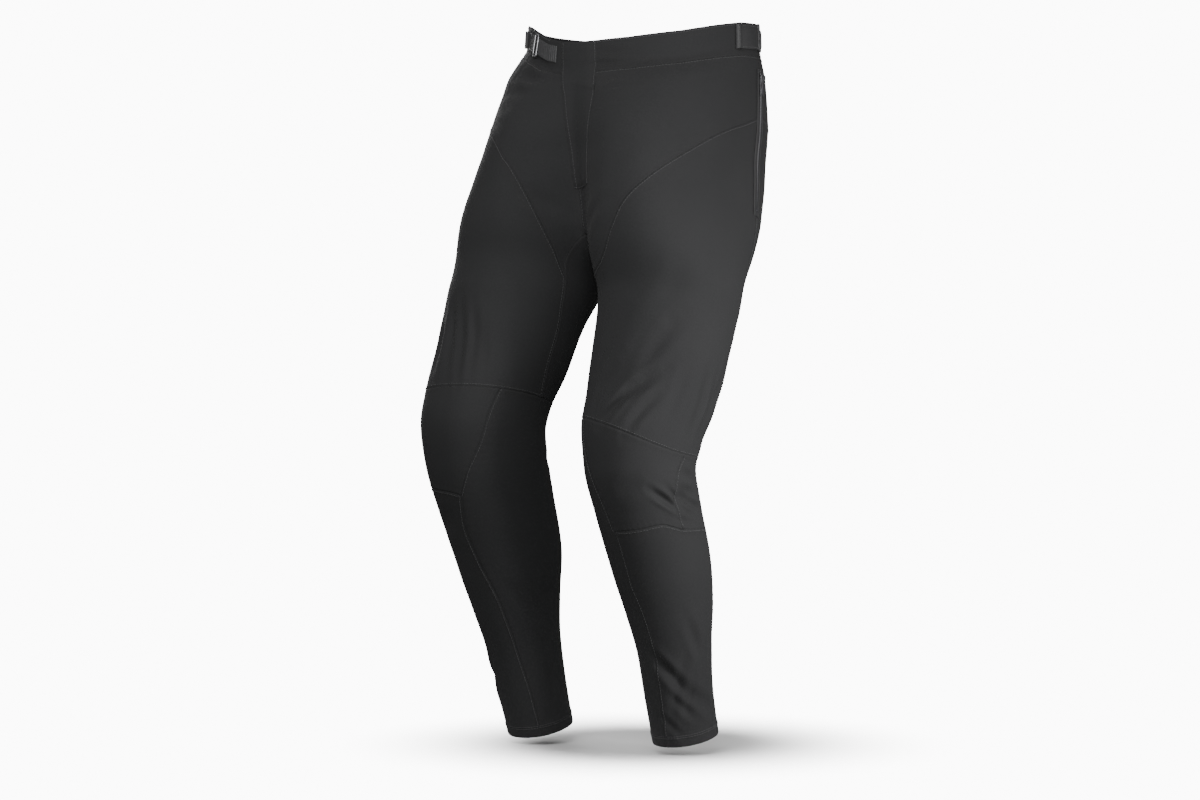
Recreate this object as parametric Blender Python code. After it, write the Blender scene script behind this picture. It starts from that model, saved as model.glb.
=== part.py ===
"""Black mountain bike trousers, size L, standing as worn, made panel by panel.

Metres, +Z up. The trousers face -Y and the wearer's left is +X. The origin is the middle of the waist,
halfway up the waistband. One smooth form carries every piece: rings round the hips and down each leg are
read from a short table of sections, the panels are cut out of that form along the seams, and whatever lies
on a panel is made from the form's points, moved out.
"""
import math

import bmesh
import bpy
from mathutils import Vector
from mathutils.bvhtree import BVHTree

CLOTH = 0.0014
SEAM_GAP = 0.00015
SHARPEST_CORNER = 0.1
LAID_GAP = 0.0009
FLY_GAP = 0.0012
FEELER = 0.012
YOKE_ROWS, MIDDLE_ROWS, GUSSET_ROWS, SEAT_ROWS, INSEAM_ROWS = 4, 12, 4, 8, 12
THIGH_ROWS = 24
KNEE_ROWS, SHIN_ROWS = 6, 12
INNER_COLUMNS, KNEE_INNER_COLUMNS, KNEE_COLUMNS, KNEE_SIDE_COLUMNS, CALF_COLUMNS = 4, 2, 8, 2, 6
BAND_ROWS = 2
FRONT_COLUMNS = KNEE_INNER_COLUMNS + KNEE_COLUMNS + KNEE_SIDE_COLUMNS
BACK_COLUMNS = CALF_COLUMNS + KNEE_INNER_COLUMNS
SCOOP_EASE = 1.5
DEGREE_OF_ARC = 0.0016

RIM = -0.018
WAIST_SEAM = 0.026
FLY_END = 0.192
HEM = 0.915
HOLLOW_REACH = 0.105
LIFT_TOP, LIFT_END = 0.020, 0.110
SPLIT_START, SPLIT_END = 0.272, 0.340

# Sections. drop: how far a ring's centre lies below the origin. out, fore: that centre's place, away from
# the middle and along Y. tilt: degrees by which the ring's front is raised. outer, inner, front, back: its
# half sizes. square: 2 is round, more is squarer. bridge: how far the cloth bridges the middle between the
# legs. hollow: how far the front sinks in between the thighs.
HIP_SECTIONS = (
    # drop,   out,   fore, tilt, outer, inner, front, back, square, bridge, hollow
    (-0.040, 0.000, 0.000, 0, 0.174, 0.174, 0.133, 0.127, 2.00, 0.000, 0.000),
    (0.014, 0.000, 0.000, 0, 0.176, 0.176, 0.139, 0.128, 2.00, 0.000, 0.000),
    (0.050, 0.032, -0.016, 2, 0.154, 0.150, 0.141, 0.140, 2.15, 0.004, 0.010),
    (0.100, 0.062, -0.034, 4, 0.128, 0.129, 0.145, 0.150, 2.30, 0.010, 0.022),
    (0.150, 0.086, -0.050, 7, 0.107, 0.122, 0.141, 0.150, 2.30, 0.016, 0.028),
    (0.200, 0.104, -0.066, 10, 0.098, 0.113, 0.135, 0.142, 2.30, 0.020, 0.028),
    (0.245, 0.114, -0.082, 13, 0.099, 0.103, 0.126, 0.126, 2.25, 0.022, 0.018),
    (0.300, 0.121, -0.101, 15, 0.098, 0.090, 0.107, 0.105, 2.15, 0.022, 0.000),
    (0.353, 0.122, -0.116, 17, 0.091, 0.088, 0.095, 0.095, 2.10, 0.020, 0.000),
)
LEG_SECTIONS = {
    1: (
        (0.245, 0.114, -0.082, 13, 0.099, 0.103, 0.126, 0.126, 2.25, 0.022, 0.018),
        (0.300, 0.122, -0.095, 15, 0.098, 0.087, 0.102, 0.106, 2.15, 0.022, 0.000),
        (0.353, 0.124, -0.103, 16, 0.090, 0.086, 0.094, 0.094, 2.10, 0.020, 0.000),
        (0.408, 0.123, -0.116, 16, 0.086, 0.085, 0.091, 0.089, 2.10, 0.018, 0.000),
        (0.463, 0.120, -0.131, 15, 0.082, 0.080, 0.088, 0.086, 2.10, 0.016, 0.000),
        (0.515, 0.120, -0.150, 8, 0.074, 0.074, 0.084, 0.082, 2.10, 0.014, 0.000),
        (0.550, 0.119, -0.152, -2, 0.069, 0.069, 0.078, 0.077, 2.10, 0.012, 0.000),
        (0.600, 0.119, -0.138, -10, 0.066, 0.066, 0.073, 0.073, 2.10, 0.010, 0.000),
        (0.680, 0.118, -0.107, -15, 0.062, 0.062, 0.069, 0.069, 2.10, 0.008, 0.000),
        (0.737, 0.118, -0.090, -15, 0.056, 0.056, 0.061, 0.061, 2.10, 0.006, 0.000),
        (0.793, 0.117, -0.078, -14, 0.048, 0.048, 0.052, 0.052, 2.10, 0.004, 0.000),
        (0.850, 0.116, -0.068, -13, 0.044, 0.044, 0.049, 0.048, 2.10, 0.002, 0.000),
        (0.915, 0.115, -0.052, -12, 0.042, 0.042, 0.046, 0.046, 2.10, 0.000, 0.000),
    ),
    -1: (
        (0.245, 0.114, -0.082, 13, 0.099, 0.103, 0.126, 0.126, 2.25, 0.022, 0.018),
        (0.300, 0.120, -0.109, 16, 0.098, 0.093, 0.106, 0.104, 2.15, 0.022, 0.000),
        (0.353, 0.121, -0.136, 18, 0.092, 0.090, 0.095, 0.095, 2.10, 0.020, 0.000),
        (0.408, 0.120, -0.160, 19, 0.086, 0.086, 0.091, 0.090, 2.10, 0.018, 0.000),
        (0.463, 0.120, -0.187, 14, 0.081, 0.080, 0.088, 0.086, 2.10, 0.016, 0.000),
        (0.500, 0.120, -0.196, 5, 0.080, 0.079, 0.089, 0.086, 2.10, 0.014, 0.000),
        (0.540, 0.120, -0.191, -6, 0.078, 0.078, 0.086, 0.085, 2.10, 0.012, 0.000),
        (0.600, 0.119, -0.172, -14, 0.074, 0.074, 0.081, 0.081, 2.10, 0.010, 0.000),
        (0.680, 0.118, -0.144, -16, 0.068, 0.068, 0.074, 0.074, 2.10, 0.008, 0.000),
        (0.737, 0.118, -0.131, -15, 0.058, 0.058, 0.063, 0.063, 2.10, 0.006, 0.000),
        (0.793, 0.117, -0.118, -14, 0.050, 0.050, 0.053, 0.053, 2.10, 0.004, 0.000),
        (0.850, 0.116, -0.103, -14, 0.046, 0.046, 0.050, 0.049, 2.10, 0.002, 0.000),
        (0.915, 0.115, -0.084, -14, 0.043, 0.043, 0.046, 0.046, 2.10, 0.000, 0.000),
    ),
}

# How far the waistband rises above its height at centre front: degrees round from the front, metres.
RISE = {
    1: ((0, 0.000), (25, 0.003), (50, 0.010), (70, 0.019), (86, 0.025), (110, 0.028), (180, 0.026)),
    -1: ((0, 0.000), (10, 0.003), (20, 0.010), (30, 0.022), (40, 0.032), (52, 0.039), (65, 0.040), (90, 0.035),
         (180, 0.026)),
}

# Largest folds, soft troughs pressed into the form. They run from one place to another, each an angle
# round the leg and a drop. depth: at the middle of the run. width: half the trough's width.
FOLDS = (
    # side, angle, drop, angle, drop, depth, width
    (1, -12, 0.487, 44, 0.380, 0.0050, 0.014),
    (1, 14, 0.490, 62, 0.410, 0.0035, 0.012),
    (1, -30, 0.470, 10, 0.350, 0.0030, 0.013),
    (1, 118, 0.590, 74, 0.585, 0.0060, 0.011),
    (1, 120, 0.620, 84, 0.606, 0.0045, 0.010),
    (1, 20, 0.880, 66, 0.780, 0.0035, 0.012),
    (1, 40, 0.885, 84, 0.820, 0.0030, 0.011),
    (1, 200, 0.560, 150, 0.545, 0.0060, 0.013),
    (1, 215, 0.590, 160, 0.600, 0.0050, 0.012),
    (-1, 16, 0.330, 10, 0.440, 0.0035, 0.012),
    (-1, 34, 0.340, 30, 0.440, 0.0030, 0.012),
    (-1, 200, 0.520, 150, 0.505, 0.0060, 0.013),
    (-1, 215, 0.550, 160, 0.560, 0.0050, 0.012),
    (-1, 118, 0.545, 80, 0.540, 0.0045, 0.011),
    (-1, 14, 0.040, 52, 0.042, 0.0040, 0.008),
    (-1, 12, 0.062, 48, 0.066, 0.0030, 0.009),
    (1, 222, 0.262, 176, 0.300, 0.0050, 0.014),
    (-1, 222, 0.262, 176, 0.300, 0.0050, 0.014),
)

# Seams, each a run of places on the form: (angle, drop).
SIDE_UPPER = ((106, 0.026), (106, 0.055), (107, 0.084))
SIDE_LOWER = {
    1: ((107, 0.084), (110, 0.134), (114, 0.182), (120, 0.250), (123, 0.380), (124, 0.536)),
    -1: ((107, 0.084), (110, 0.134), (114, 0.182), (120, 0.250), (123, 0.380), (124, 0.460)),
}
SCOOP = {
    1: ((-70, 0.310), (-45, 0.314), (-24, 0.308), (-8, 0.285), (0, 0.262), (7, 0.238), (17, 0.2155),
        (32, 0.190), (58, 0.148), (81, 0.111), (95, 0.094), (107, 0.084)),
    -1: ((-74, 0.306), (-60, 0.280), (-42, 0.251), (-25, 0.2155), (-8, 0.1745), (10, 0.134), (29, 0.109),
         (49, 0.094), (80, 0.086), (107, 0.084)),
}
GUSSET_FRONT_TOP = 0.250
GUSSET_BACK_TOP = 0.244
GUSSET_FRONT = {1: ((-66, 0.280), (-70, 0.310)), -1: ((-68, 0.280), (-74, 0.306))}
GUSSET_BACK = {1: ((-117, 0.275), (-116, 0.310)), -1: ((-117, 0.275), (-116, 0.306))}
INSEAM_FRONT = {
    1: ((-70, 0.310), (-78, 0.370), (-84, 0.430), (-90, 0.500)),
    -1: ((-74, 0.306), (-80, 0.334), (-86, 0.370), (-88, 0.410), (-98, 0.455)),
}
INSEAM_BACK = {
    1: ((-116, 0.310), (-117, 0.370), (-120, 0.430), (-124, 0.505)),
    -1: ((-116, 0.306), (-117, 0.360), (-120, 0.410), (-124, 0.455)),
}
YOKE_BACK_DROP = 0.108
KNEE_TOP = {1: (0.517, 0.019, 122), -1: (0.460, 0.006, 30)}
KNEE_LOW = {
    1: ((-2, 0.620), (30, 0.618), (52, 0.616), (78, 0.628)),
    -1: ((-12, 0.574), (0, 0.570), (30, 0.568), (76, 0.580)),
}
KNEE_INNER = {
    1: ((-30, 0.5), (-26, 0.534), (-20, 0.550), (-10, 0.580), (-2, 0.620)),
    -1: ((-54, 0.46), (-44, 0.510), (-26, 0.545), (-12, 0.574)),
}
KNEE_OUTER = {
    1: ((92, 0.53), (82, 0.566), (76, 0.595), (78, 0.628)),
    -1: ((92, 0.46), (84, 0.500), (76, 0.545), (76, 0.580)),
}
SHIN_INNER = {
    1: ((-2, 0.620), (-2, 0.682), (2, 0.720), (6, 0.780), (8, 0.850), (4, HEM)),
    -1: ((-12, 0.574), (-6, 0.618), (-10, 0.658), (-24, 0.722), (-34, 0.800), (-42, 0.850), (-46, HEM)),
}
KNEE_LOW_SIDE = {1: (124, 0.642), -1: (124, 0.592)}
SIDE_ANGLE, BACK_SIDE_ANGLE, OUTER_HEM_ANGLE = 106, 124, 116
CALF_INNER = {1: ((-150, 0.5), (-152, 0.700), (-150, HEM)), -1: ((-150, 0.46), (-152, 0.700), (-150, HEM))}

# The fly placket's free edge and stitched edge: drop, and how far each lies from the middle, +X left.
FLY_EDGES = (
    # drop, free edge, stitched edge
    (-0.0185, -0.034, 0.028),
    (0.026, -0.0285, 0.033),
    (0.060, -0.0185, 0.041),
    (0.100, -0.0125, 0.041),
    (0.140, -0.0090, 0.038),
    (0.192, -0.006, 0.038),
)

# Side pocket zips: the tape, its ridge of closed teeth, the slider and the pull tab hung on its arch.
ZIP_TOP, ZIP_END = 0.040, 0.205
TAPE_HALF = 0.010
TAPE_THICK = 0.0012
TEETH_HIGH = 0.0012
SLIDER_DROP = 0.050
SLIDER_LONG, SLIDER_WIDE = 0.012, 0.0090
SLIDER_THICK, SLIDER_THIN = 0.0018, 0.0009
ARCH_FROM, ARCH_TO, ARCH_WIDE, ARCH_HIGH = -0.0045, 0.0025, 0.0022, 0.0050
ARCH_THICK = 0.0008
HINGE_ALONG, HINGE_HIGH = -0.0010, 0.0030
PULL_LONG, PULL_WIDE, PULL_THICK = 0.026, 0.0076, 0.0012
PULL_BAR, WINDOW_LONG, WINDOW_WIDE = 0.0007, 0.0075, 0.0038
METAL_CLEAR = 0.0004

# Waist adjusters: the ladder strap's run, the ring's middle and the webbing tab's run, in degrees.
ADJUSTERS = {
    # side: (ladder from, ladder to, ring, tab from, tab to)
    1: (112.2, 133.5, 109.1, 82.0, 106.0),
    -1: (13.6, 28.6, 31.7, 34.8, 46.5),
}
STRAP_MIDDLE = 0.001
LADDER_HALF = 0.0112
TAB_HALF = {1: 0.0165, -1: 0.0120}
STRAP_THICK = 0.0016
STRAP_ROWS = 2
RIB_HIGH = 0.0009
RIB_PITCH = 0.0042
FOLD_HIGH = 0.0036
RING_HALF_TALL = {1: 0.0185, -1: 0.0155}
RING_HALF_WIDE, RING_CORNER, RING_WIRE = 0.0055, 0.0028, 0.0011
RING_OUT = RING_WIRE + 0.0005

BLACK_WOVEN = ((0.012, 0.012, 0.013), 0.86, 0.0)
BLACK_WEBBING = ((0.020, 0.020, 0.022), 0.70, 0.0)
BLACK_WIRE = ((0.030, 0.030, 0.032), 0.35, 0.9)
ZIP_TAPE = ((0.015, 0.015, 0.016), 0.75, 0.0)
ZIP_METAL = ((0.045, 0.045, 0.048), 0.40, 0.9)


def smooth_step(share):
    share = min(max(share, 0.0), 1.0)
    return share * share * (3 - 2 * share)


def broken_line(rows, at):
    """Reads a table of (place, value) rows at a place, straight between its rows."""
    if at <= rows[0][0]:
        return rows[0][1]
    for (start, low), (end, high) in zip(rows, rows[1:]):
        if at <= end:
            return low + (high - low) * (at - start) / (end - start)
    return rows[-1][1]


def slopes(places, values):
    """Slopes of a smooth curve through the values that never overshoots them."""
    rises = [(b - a) / (q - p) for a, b, p, q in zip(values, values[1:], places, places[1:])]
    found = [rises[0]]
    for before, after in zip(rises, rises[1:]):
        found.append(0.0 if before * after <= 0 else 2 * before * after / (before + after))
    found.append(rises[-1])
    return found


class SectionTable:
    """Reads every column of a table of sections at any drop."""

    def __init__(self, rows):
        self.drops = [row[0] for row in rows]
        self.columns = [list(column) for column in zip(*rows)][1:]
        self.slopes = [slopes(self.drops, column) for column in self.columns]

    def at(self, drop):
        last = len(self.drops) - 2
        i = 0
        while i < last and drop > self.drops[i + 1]:
            i += 1
        long = self.drops[i + 1] - self.drops[i]
        s = (drop - self.drops[i]) / long
        start, end = 2 * s**3 - 3 * s**2 + 1, 3 * s**2 - 2 * s**3
        leave, arrive = (s**3 - 2 * s**2 + s) * long, (s**3 - s**2) * long
        return [start * c[i] + end * c[i + 1] + leave * m[i] + arrive * m[i + 1]
                for c, m in zip(self.columns, self.slopes)]


HIPS = SectionTable(HIP_SECTIONS)
LEGS = {side: SectionTable(rows) for side, rows in LEG_SECTIONS.items()}


def section(side, drop):
    """The hips are one form; below the crotch each leg has its own."""
    share = smooth_step((drop - SPLIT_START) / (SPLIT_END - SPLIT_START))
    if share <= 0:
        return HIPS.at(drop)
    own = LEGS[side].at(drop)
    if share >= 1:
        return own
    return [a + (b - a) * share for a, b in zip(HIPS.at(drop), own)]


def edge_angle(side, drop):
    """How far past front centre a ring runs before it meets the middle; 90 degrees once it is whole."""
    out, fore, tilt, outer, inner, front, back, square, bridge, hollow = section(side, drop)
    share = max(out - bridge, 0.0) / inner
    return 90.0 if share >= 1 else math.degrees(math.asin(share ** (square / 2)))


def bare_point(side, angle, drop):
    """A point of the form without its folds. Angle 0 is the front of the leg, 90 its outer side."""
    out, fore, tilt, outer, inner, front, back, square, bridge, hollow = section(side, drop)
    limit = edge_angle(side, drop)
    if limit < 90:
        angle = min(max(angle + 360 if angle < -90 else angle, -limit), 180 + limit)
    turn = math.radians(angle)
    sine, cosine = math.sin(turn), math.cos(turn)
    along = math.copysign(abs(sine) ** (2 / square), sine) * (outer if sine > 0 else inner)
    deep = -math.copysign(abs(cosine) ** (2 / square), cosine) * (front if cosine > 0 else back)
    x = max(out + along, bridge)
    x = math.sqrt(max(x * x - bridge * bridge, 0.0))
    if cosine > 0 and x < HOLLOW_REACH:
        deep += hollow * (1 + math.cos(math.pi * x / HOLLOW_REACH)) / 2
    lean = math.radians(tilt)
    fade = 1 - smooth_step((drop - LIFT_TOP) / (LIFT_END - LIFT_TOP))
    rise = broken_line(RISE[side], min(max(angle, 0), 180)) * fade
    return Vector((side * x, fore + deep * math.cos(lean), rise - drop - deep * math.sin(lean)))


def normal(side, angle, drop):
    """The form's outward direction at a place."""
    step_angle, step_drop = 0.7, 0.0015
    round_it = bare_point(side, angle + step_angle, drop) - bare_point(side, angle - step_angle, drop)
    down = bare_point(side, angle, drop + step_drop) - bare_point(side, angle, drop - step_drop)
    out = down.cross(round_it) * side
    if abs(bare_point(side, angle, drop).x) < 1e-6:
        out.x = 0.0
    return out.normalized()


def fold_depth(side, angle, drop):
    """How deep all folds together press the form in at a place."""
    depth = 0.0
    for of_side, angle_a, drop_a, angle_b, drop_b, deep, width in FOLDS:
        if of_side != side:
            continue
        nearer = angle + 360 * round(((angle_a + angle_b) / 2 - angle) / 360)
        run = Vector(((angle_b - angle_a) * DEGREE_OF_ARC, drop_b - drop_a))
        here = Vector(((nearer - angle_a) * DEGREE_OF_ARC, drop - drop_a))
        along = min(max(here.dot(run) / run.length_squared, 0.0), 1.0)
        away = (here - run * along).length / width
        if away < 3:
            depth += deep * math.exp(-away * away) * math.sin(math.pi * min(max(along, 0.08), 0.92))
    return depth


def point(side, angle, drop, out=0.0):
    """A point of the garment's outer face, or so far out from it."""
    return bare_point(side, angle, drop) + normal(side, angle, drop) * (out - fold_depth(side, angle, drop))


def knee_top(side, angle):
    middle, swing, lowest = KNEE_TOP[side]
    return middle + swing * math.cos(math.radians(angle - lowest))


def on_knee_top(side, angle):
    return (angle, knee_top(side, angle))


def seam(places, count, ease=1.0):
    """Spreads count + 1 places evenly along a smooth run through the given ones."""
    if len(places) == 2:
        fine = [tuple(a + (b - a) * i / 40 for a, b in zip(*places)) for i in range(41)]
    else:
        stops = list(range(len(places)))
        columns = [list(column) for column in zip(*places)]
        ways = [slopes(stops, column) for column in columns]
        fine = []
        for i in range(len(places) - 1):
            for k in range(20):
                s = k / 20
                fine.append(tuple(
                    (2 * s**3 - 3 * s**2 + 1) * c[i] + (s**3 - 2 * s**2 + s) * m[i]
                    + (3 * s**2 - 2 * s**3) * c[i + 1] + (s**3 - s**2) * m[i + 1]
                    for c, m in zip(columns, ways)))
        fine.append(tuple(places[-1]))
    lengths = [0.0]
    for a, b in zip(fine, fine[1:]):
        lengths.append(lengths[-1] + math.hypot((b[0] - a[0]) * DEGREE_OF_ARC, b[1] - a[1]))
    found = []
    for i in range(count + 1):
        want = lengths[-1] * (i / count) ** ease
        k = 0
        while k < len(lengths) - 2 and lengths[k + 1] < want:
            k += 1
        share = (want - lengths[k]) / (lengths[k + 1] - lengths[k])
        found.append(tuple(a + (b - a) * share for a, b in zip(fine[k], fine[k + 1])))
    return found


def middle_front(side, start, end, count):
    drops = [start + (end - start) * i / count for i in range(count + 1)]
    return [(-edge_angle(side, drop), drop) for drop in drops]


def middle_back(side, start, end, count):
    drops = [start + (end - start) * i / count for i in range(count + 1)]
    return [(180 + edge_angle(side, drop), drop) for drop in drops]


def crotch_line(side, count):
    """The seam under the crotch, from the gusset's front tip to its back tip, as angle and drop."""
    whole = GUSSET_FRONT_TOP
    while edge_angle(side, whole) < 90:
        whole += 0.0002
    found = []
    for i in range(count + 1):
        share = 2 * i / count - 1
        tip = GUSSET_FRONT_TOP if share < 0 else GUSSET_BACK_TOP
        drop = whole + (tip - whole) * share * share
        angle = edge_angle(side, drop)
        found.append((-angle, drop) if share < 0 else (angle - 180, drop))
    return found


def shifted(places, turn):
    return [(angle + turn, drop) for angle, drop in places]


def patch(side, top, bottom, start, end):
    """Fills four seams with a grid of places: rows from top to bottom, columns from start to end."""
    columns, rows = len(top) - 1, len(start) - 1
    grid = []
    for r in range(rows + 1):
        down = r / rows
        row = []
        for c in range(columns + 1):
            across = c / columns
            place = []
            for k in (0, 1):
                along = (1 - down) * top[c][k] + down * bottom[c][k]
                sides = (1 - across) * start[r][k] + across * end[r][k]
                corners = ((1 - down) * ((1 - across) * top[0][k] + across * top[-1][k])
                           + down * ((1 - across) * bottom[0][k] + across * bottom[-1][k]))
                place.append(along + sides - corners)
            row.append((side, place[0], place[1]))
        grid.append(row)
    return grid


def material(name, finish):
    colour, roughness, metallic = finish
    made = bpy.data.materials.new(name)
    made.use_nodes = True
    shader = made.node_tree.nodes["Principled BSDF"]
    shader.inputs["Base Color"].default_value = (*colour, 1.0)
    shader.inputs["Roughness"].default_value = roughness
    shader.inputs["Metallic"].default_value = metallic
    return made


def make_object(name, points, faces, finish):
    mesh = bpy.data.meshes.new(name)
    mesh.from_pydata([tuple(p) for p in points], [], faces)
    body = bmesh.new()
    body.from_mesh(mesh)
    bmesh.ops.recalc_face_normals(body, faces=body.faces)
    body.to_mesh(mesh)
    body.free()
    mesh.shade_smooth()
    mesh.set_sharp_from_angle(angle=math.radians(40))
    mesh.materials.append(material(name, finish))
    made = bpy.data.objects.new(name, mesh)
    bpy.context.scene.collection.objects.link(made)
    return made


def pulled_in(face, inside, r, c):
    """How far a grid's point moves in, square to the seams that it lies on, so far into a sharp corner
    that both seams keep their gap."""
    rows, columns = len(face) - 1, len(face[0]) - 1
    ways = []
    for at_edge, inner, along in ((r == 0, (r + 1, c), (0, 1)), (r == rows, (r - 1, c), (0, 1)),
                                  (c == 0, (r, c + 1), (1, 0)), (c == columns, (r, c - 1), (1, 0))):
        if at_edge and inside:
            before = face[max(r - along[0], 0)][max(c - along[1], 0)]
            after = face[min(r + along[0], rows)][min(c + along[1], columns)]
            edge = (after - before).normalized()
            towards = face[inner[0]][inner[1]] - face[r][c]
            ways.append((towards - edge * towards.dot(edge)).normalized())
    if len(ways) == 2:
        return (ways[0] + ways[1]) * (inside / max(1 + ways[0].dot(ways[1]), SHARPEST_CORNER))
    return ways[0] * inside if ways else Vector()


def along_chords(side, places, share, layer):
    """A point on the straight stretches between a seam's places, so far out from the form."""
    step = min(int(share * (len(places) - 1)), len(places) - 2)
    part = share * (len(places) - 1) - step
    near, far = places[step], places[step + 1]
    return point(side, *near, layer).lerp(point(side, *far, layer), part)


class Ground:
    """The outer faces of the panels sewn so far, which later pieces are laid on."""

    def __init__(self, names):
        points, faces = [], []
        for name in names:
            mesh = bpy.data.objects[name].data
            start = len(points)
            mesh.calc_loop_triangles()
            points += [vertex.co.copy() for vertex in mesh.vertices]
            faces += [[start + i for i in triangle.vertices] for triangle in mesh.loop_triangles]
        self.tree = BVHTree.FromPolygons(points, faces)

    def under(self, place):
        """The panels' outermost point on the form's normal through a place."""
        out = normal(*place)
        hit = self.tree.ray_cast(point(*place, FEELER), -out, 2 * FEELER)[0]
        return hit if hit else point(*place)


def wall(name, grid, finish, thick=CLOTH, out=0.0, gap=SEAM_GAP, raised=None, follow=None, ground=None):
    """A closed wall over a grid of places, its outer face so far out from the form.

    follow gives, for the first or last column, the fewer places of the panel sewn to it there.
    ground is what the piece is laid on, in place of the bare form.
    """
    rows, columns = len(grid) - 1, len(grid[0]) - 1
    side = grid[0][0][0]
    face = [[ground.under(place) if ground else point(*place) for place in row] for row in grid]
    points = []
    for layer in (out, out - thick):
        for r, row in enumerate(grid):
            for c, place in enumerate(row):
                lift = layer + (raised(r, c) if raised and layer == out else 0.0)
                at = face[r][c] + normal(*place) * lift
                if follow and c in follow:
                    at = along_chords(side, follow[c], r / rows, layer)
                points.append(at + pulled_in(face, gap, r, c))
    width = columns + 1
    back = (rows + 1) * width
    faces = []
    for r in range(rows):
        for c in range(columns):
            a, b = r * width + c, r * width + c + 1
            faces.append((a, b, b + width, a + width))
            faces.append((back + a, back + a + width, back + b + width, back + b))
    border = [(0, c) for c in range(columns)] + [(r, columns) for r in range(rows)]
    border += [(rows, columns - c) for c in range(columns)] + [(rows - r, 0) for r in range(rows)]
    ring = [r * width + c for r, c in border]
    for a, b in zip(ring, ring[1:] + ring[:1]):
        faces.append((b, a, back + a, back + b))
    return make_object(name, points, faces, finish)


def make_waistband():
    """Two fronts that meet under the fly and one back, joined at the sides."""
    for side, name in ((1, "left"), (-1, "right")):
        top, bottom = (seam(((0, drop), (SIDE_ANGLE, drop)), FRONT_COLUMNS, SCOOP_EASE)
                       for drop in (RIM, WAIST_SEAM))
        middle = middle_front(side, RIM, WAIST_SEAM, BAND_ROWS)
        end = seam(((SIDE_ANGLE, RIM), (SIDE_ANGLE, WAIST_SEAM)), BAND_ROWS)
        wall(f"waistband_front_{name}", patch(side, pinned(side, top), pinned(side, bottom), middle, end),
             BLACK_WOVEN)
    grid = []
    for r in range(BAND_ROWS + 1):
        drop = RIM + (WAIST_SEAM - RIM) * r / BAND_ROWS
        step = (180 - SIDE_ANGLE) / BACK_COLUMNS
        left = [(1, SIDE_ANGLE + step * c, drop) for c in range(BACK_COLUMNS + 1)]
        right = [(-1, 180 - step * c, drop) for c in range(1, BACK_COLUMNS + 1)]
        grid.append(left + right)
    wall("waistband_back", grid, BLACK_WOVEN)


def pinned(side, places):
    """Moves the first place of a run onto the middle of the garment."""
    return [(-edge_angle(side, places[0][1]), places[0][1])] + places[1:]


def knee_run(side, *stops):
    """Places along the seam above the knee: an angle, then a count of columns and the next angle."""
    places = [on_knee_top(side, stops[0])]
    for count, end in zip(stops[1::2], stops[2::2]):
        start = places[-1][0]
        places += [on_knee_top(side, start + (end - start) * (i + 1) / count) for i in range(count)]
    return places


def make_hips(side, name):
    scoop = seam(SCOOP[side], FRONT_COLUMNS, SCOOP_EASE)
    waist = seam(((0, WAIST_SEAM), (SIDE_ANGLE, WAIST_SEAM)), FRONT_COLUMNS, SCOOP_EASE)
    middle = middle_front(side, WAIST_SEAM, GUSSET_FRONT_TOP, MIDDLE_ROWS)
    gusset = seam((middle[-1], *GUSSET_FRONT[side]), GUSSET_ROWS)
    side_coarse = seam(SIDE_UPPER, YOKE_ROWS)
    wall(f"hip_front_{name}",
         patch(side, pinned(side, waist), scoop, middle + gusset[1:],
               seam(SIDE_UPPER, MIDDLE_ROWS + GUSSET_ROWS)),
         BLACK_WOVEN, follow={FRONT_COLUMNS: side_coarse})

    knee = knee_run(side, INSEAM_FRONT[side][-1][0], KNEE_INNER_COLUMNS, KNEE_INNER[side][0][0],
                    KNEE_COLUMNS, KNEE_OUTER[side][0][0], KNEE_SIDE_COLUMNS, BACK_SIDE_ANGLE)
    inseam = seam(ending(side, INSEAM_FRONT[side]), THIGH_ROWS)
    inseam_coarse = seam(ending(side, INSEAM_FRONT[side]), INSEAM_ROWS)
    outseam = seam(ending(side, SIDE_LOWER[side]), THIGH_ROWS)
    wall(f"thigh_front_{name}", patch(side, scoop, knee, inseam, outseam), BLACK_WOVEN,
         follow={0: inseam_coarse})

    waist_back = seam(((SIDE_ANGLE, WAIST_SEAM), (180 + edge_angle(side, WAIST_SEAM), WAIST_SEAM)),
                      BACK_COLUMNS)
    yoke = seam((SIDE_UPPER[-1], (180 + edge_angle(side, YOKE_BACK_DROP), YOKE_BACK_DROP)), BACK_COLUMNS)
    centre = middle_back(side, WAIST_SEAM, YOKE_BACK_DROP, YOKE_ROWS)
    wall(f"back_yoke_{name}", patch(side, waist_back, yoke, side_coarse, centre), BLACK_WOVEN)

    seat_middle = middle_back(side, YOKE_BACK_DROP, GUSSET_BACK_TOP, SEAT_ROWS)
    behind = seam((back_tip(side), *GUSSET_BACK[side]), GUSSET_ROWS)
    behind += seam(ending(side, INSEAM_BACK[side]), INSEAM_ROWS)[1:]
    inner = seat_middle + shifted(behind, 360)[1:]
    knee_back = knee_run(side, BACK_SIDE_ANGLE, CALF_COLUMNS, 360 + CALF_INNER[side][0][0],
                         KNEE_INNER_COLUMNS, 360 + INSEAM_BACK[side][-1][0])
    outer = seam(ending(side, SIDE_LOWER[side]), len(inner) - 1)
    wall(f"seat_back_{name}", patch(side, yoke, knee_back, outer, inner), BLACK_WOVEN)


def back_tip(side):
    return (edge_angle(side, GUSSET_BACK_TOP) - 180, GUSSET_BACK_TOP)


def ending(side, places):
    """Ends a seam exactly on the seam above the knee."""
    return (*places[:-1], on_knee_top(side, places[-1][0]))


def starting(side, places):
    return (on_knee_top(side, places[0][0]), *places[1:])


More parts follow.
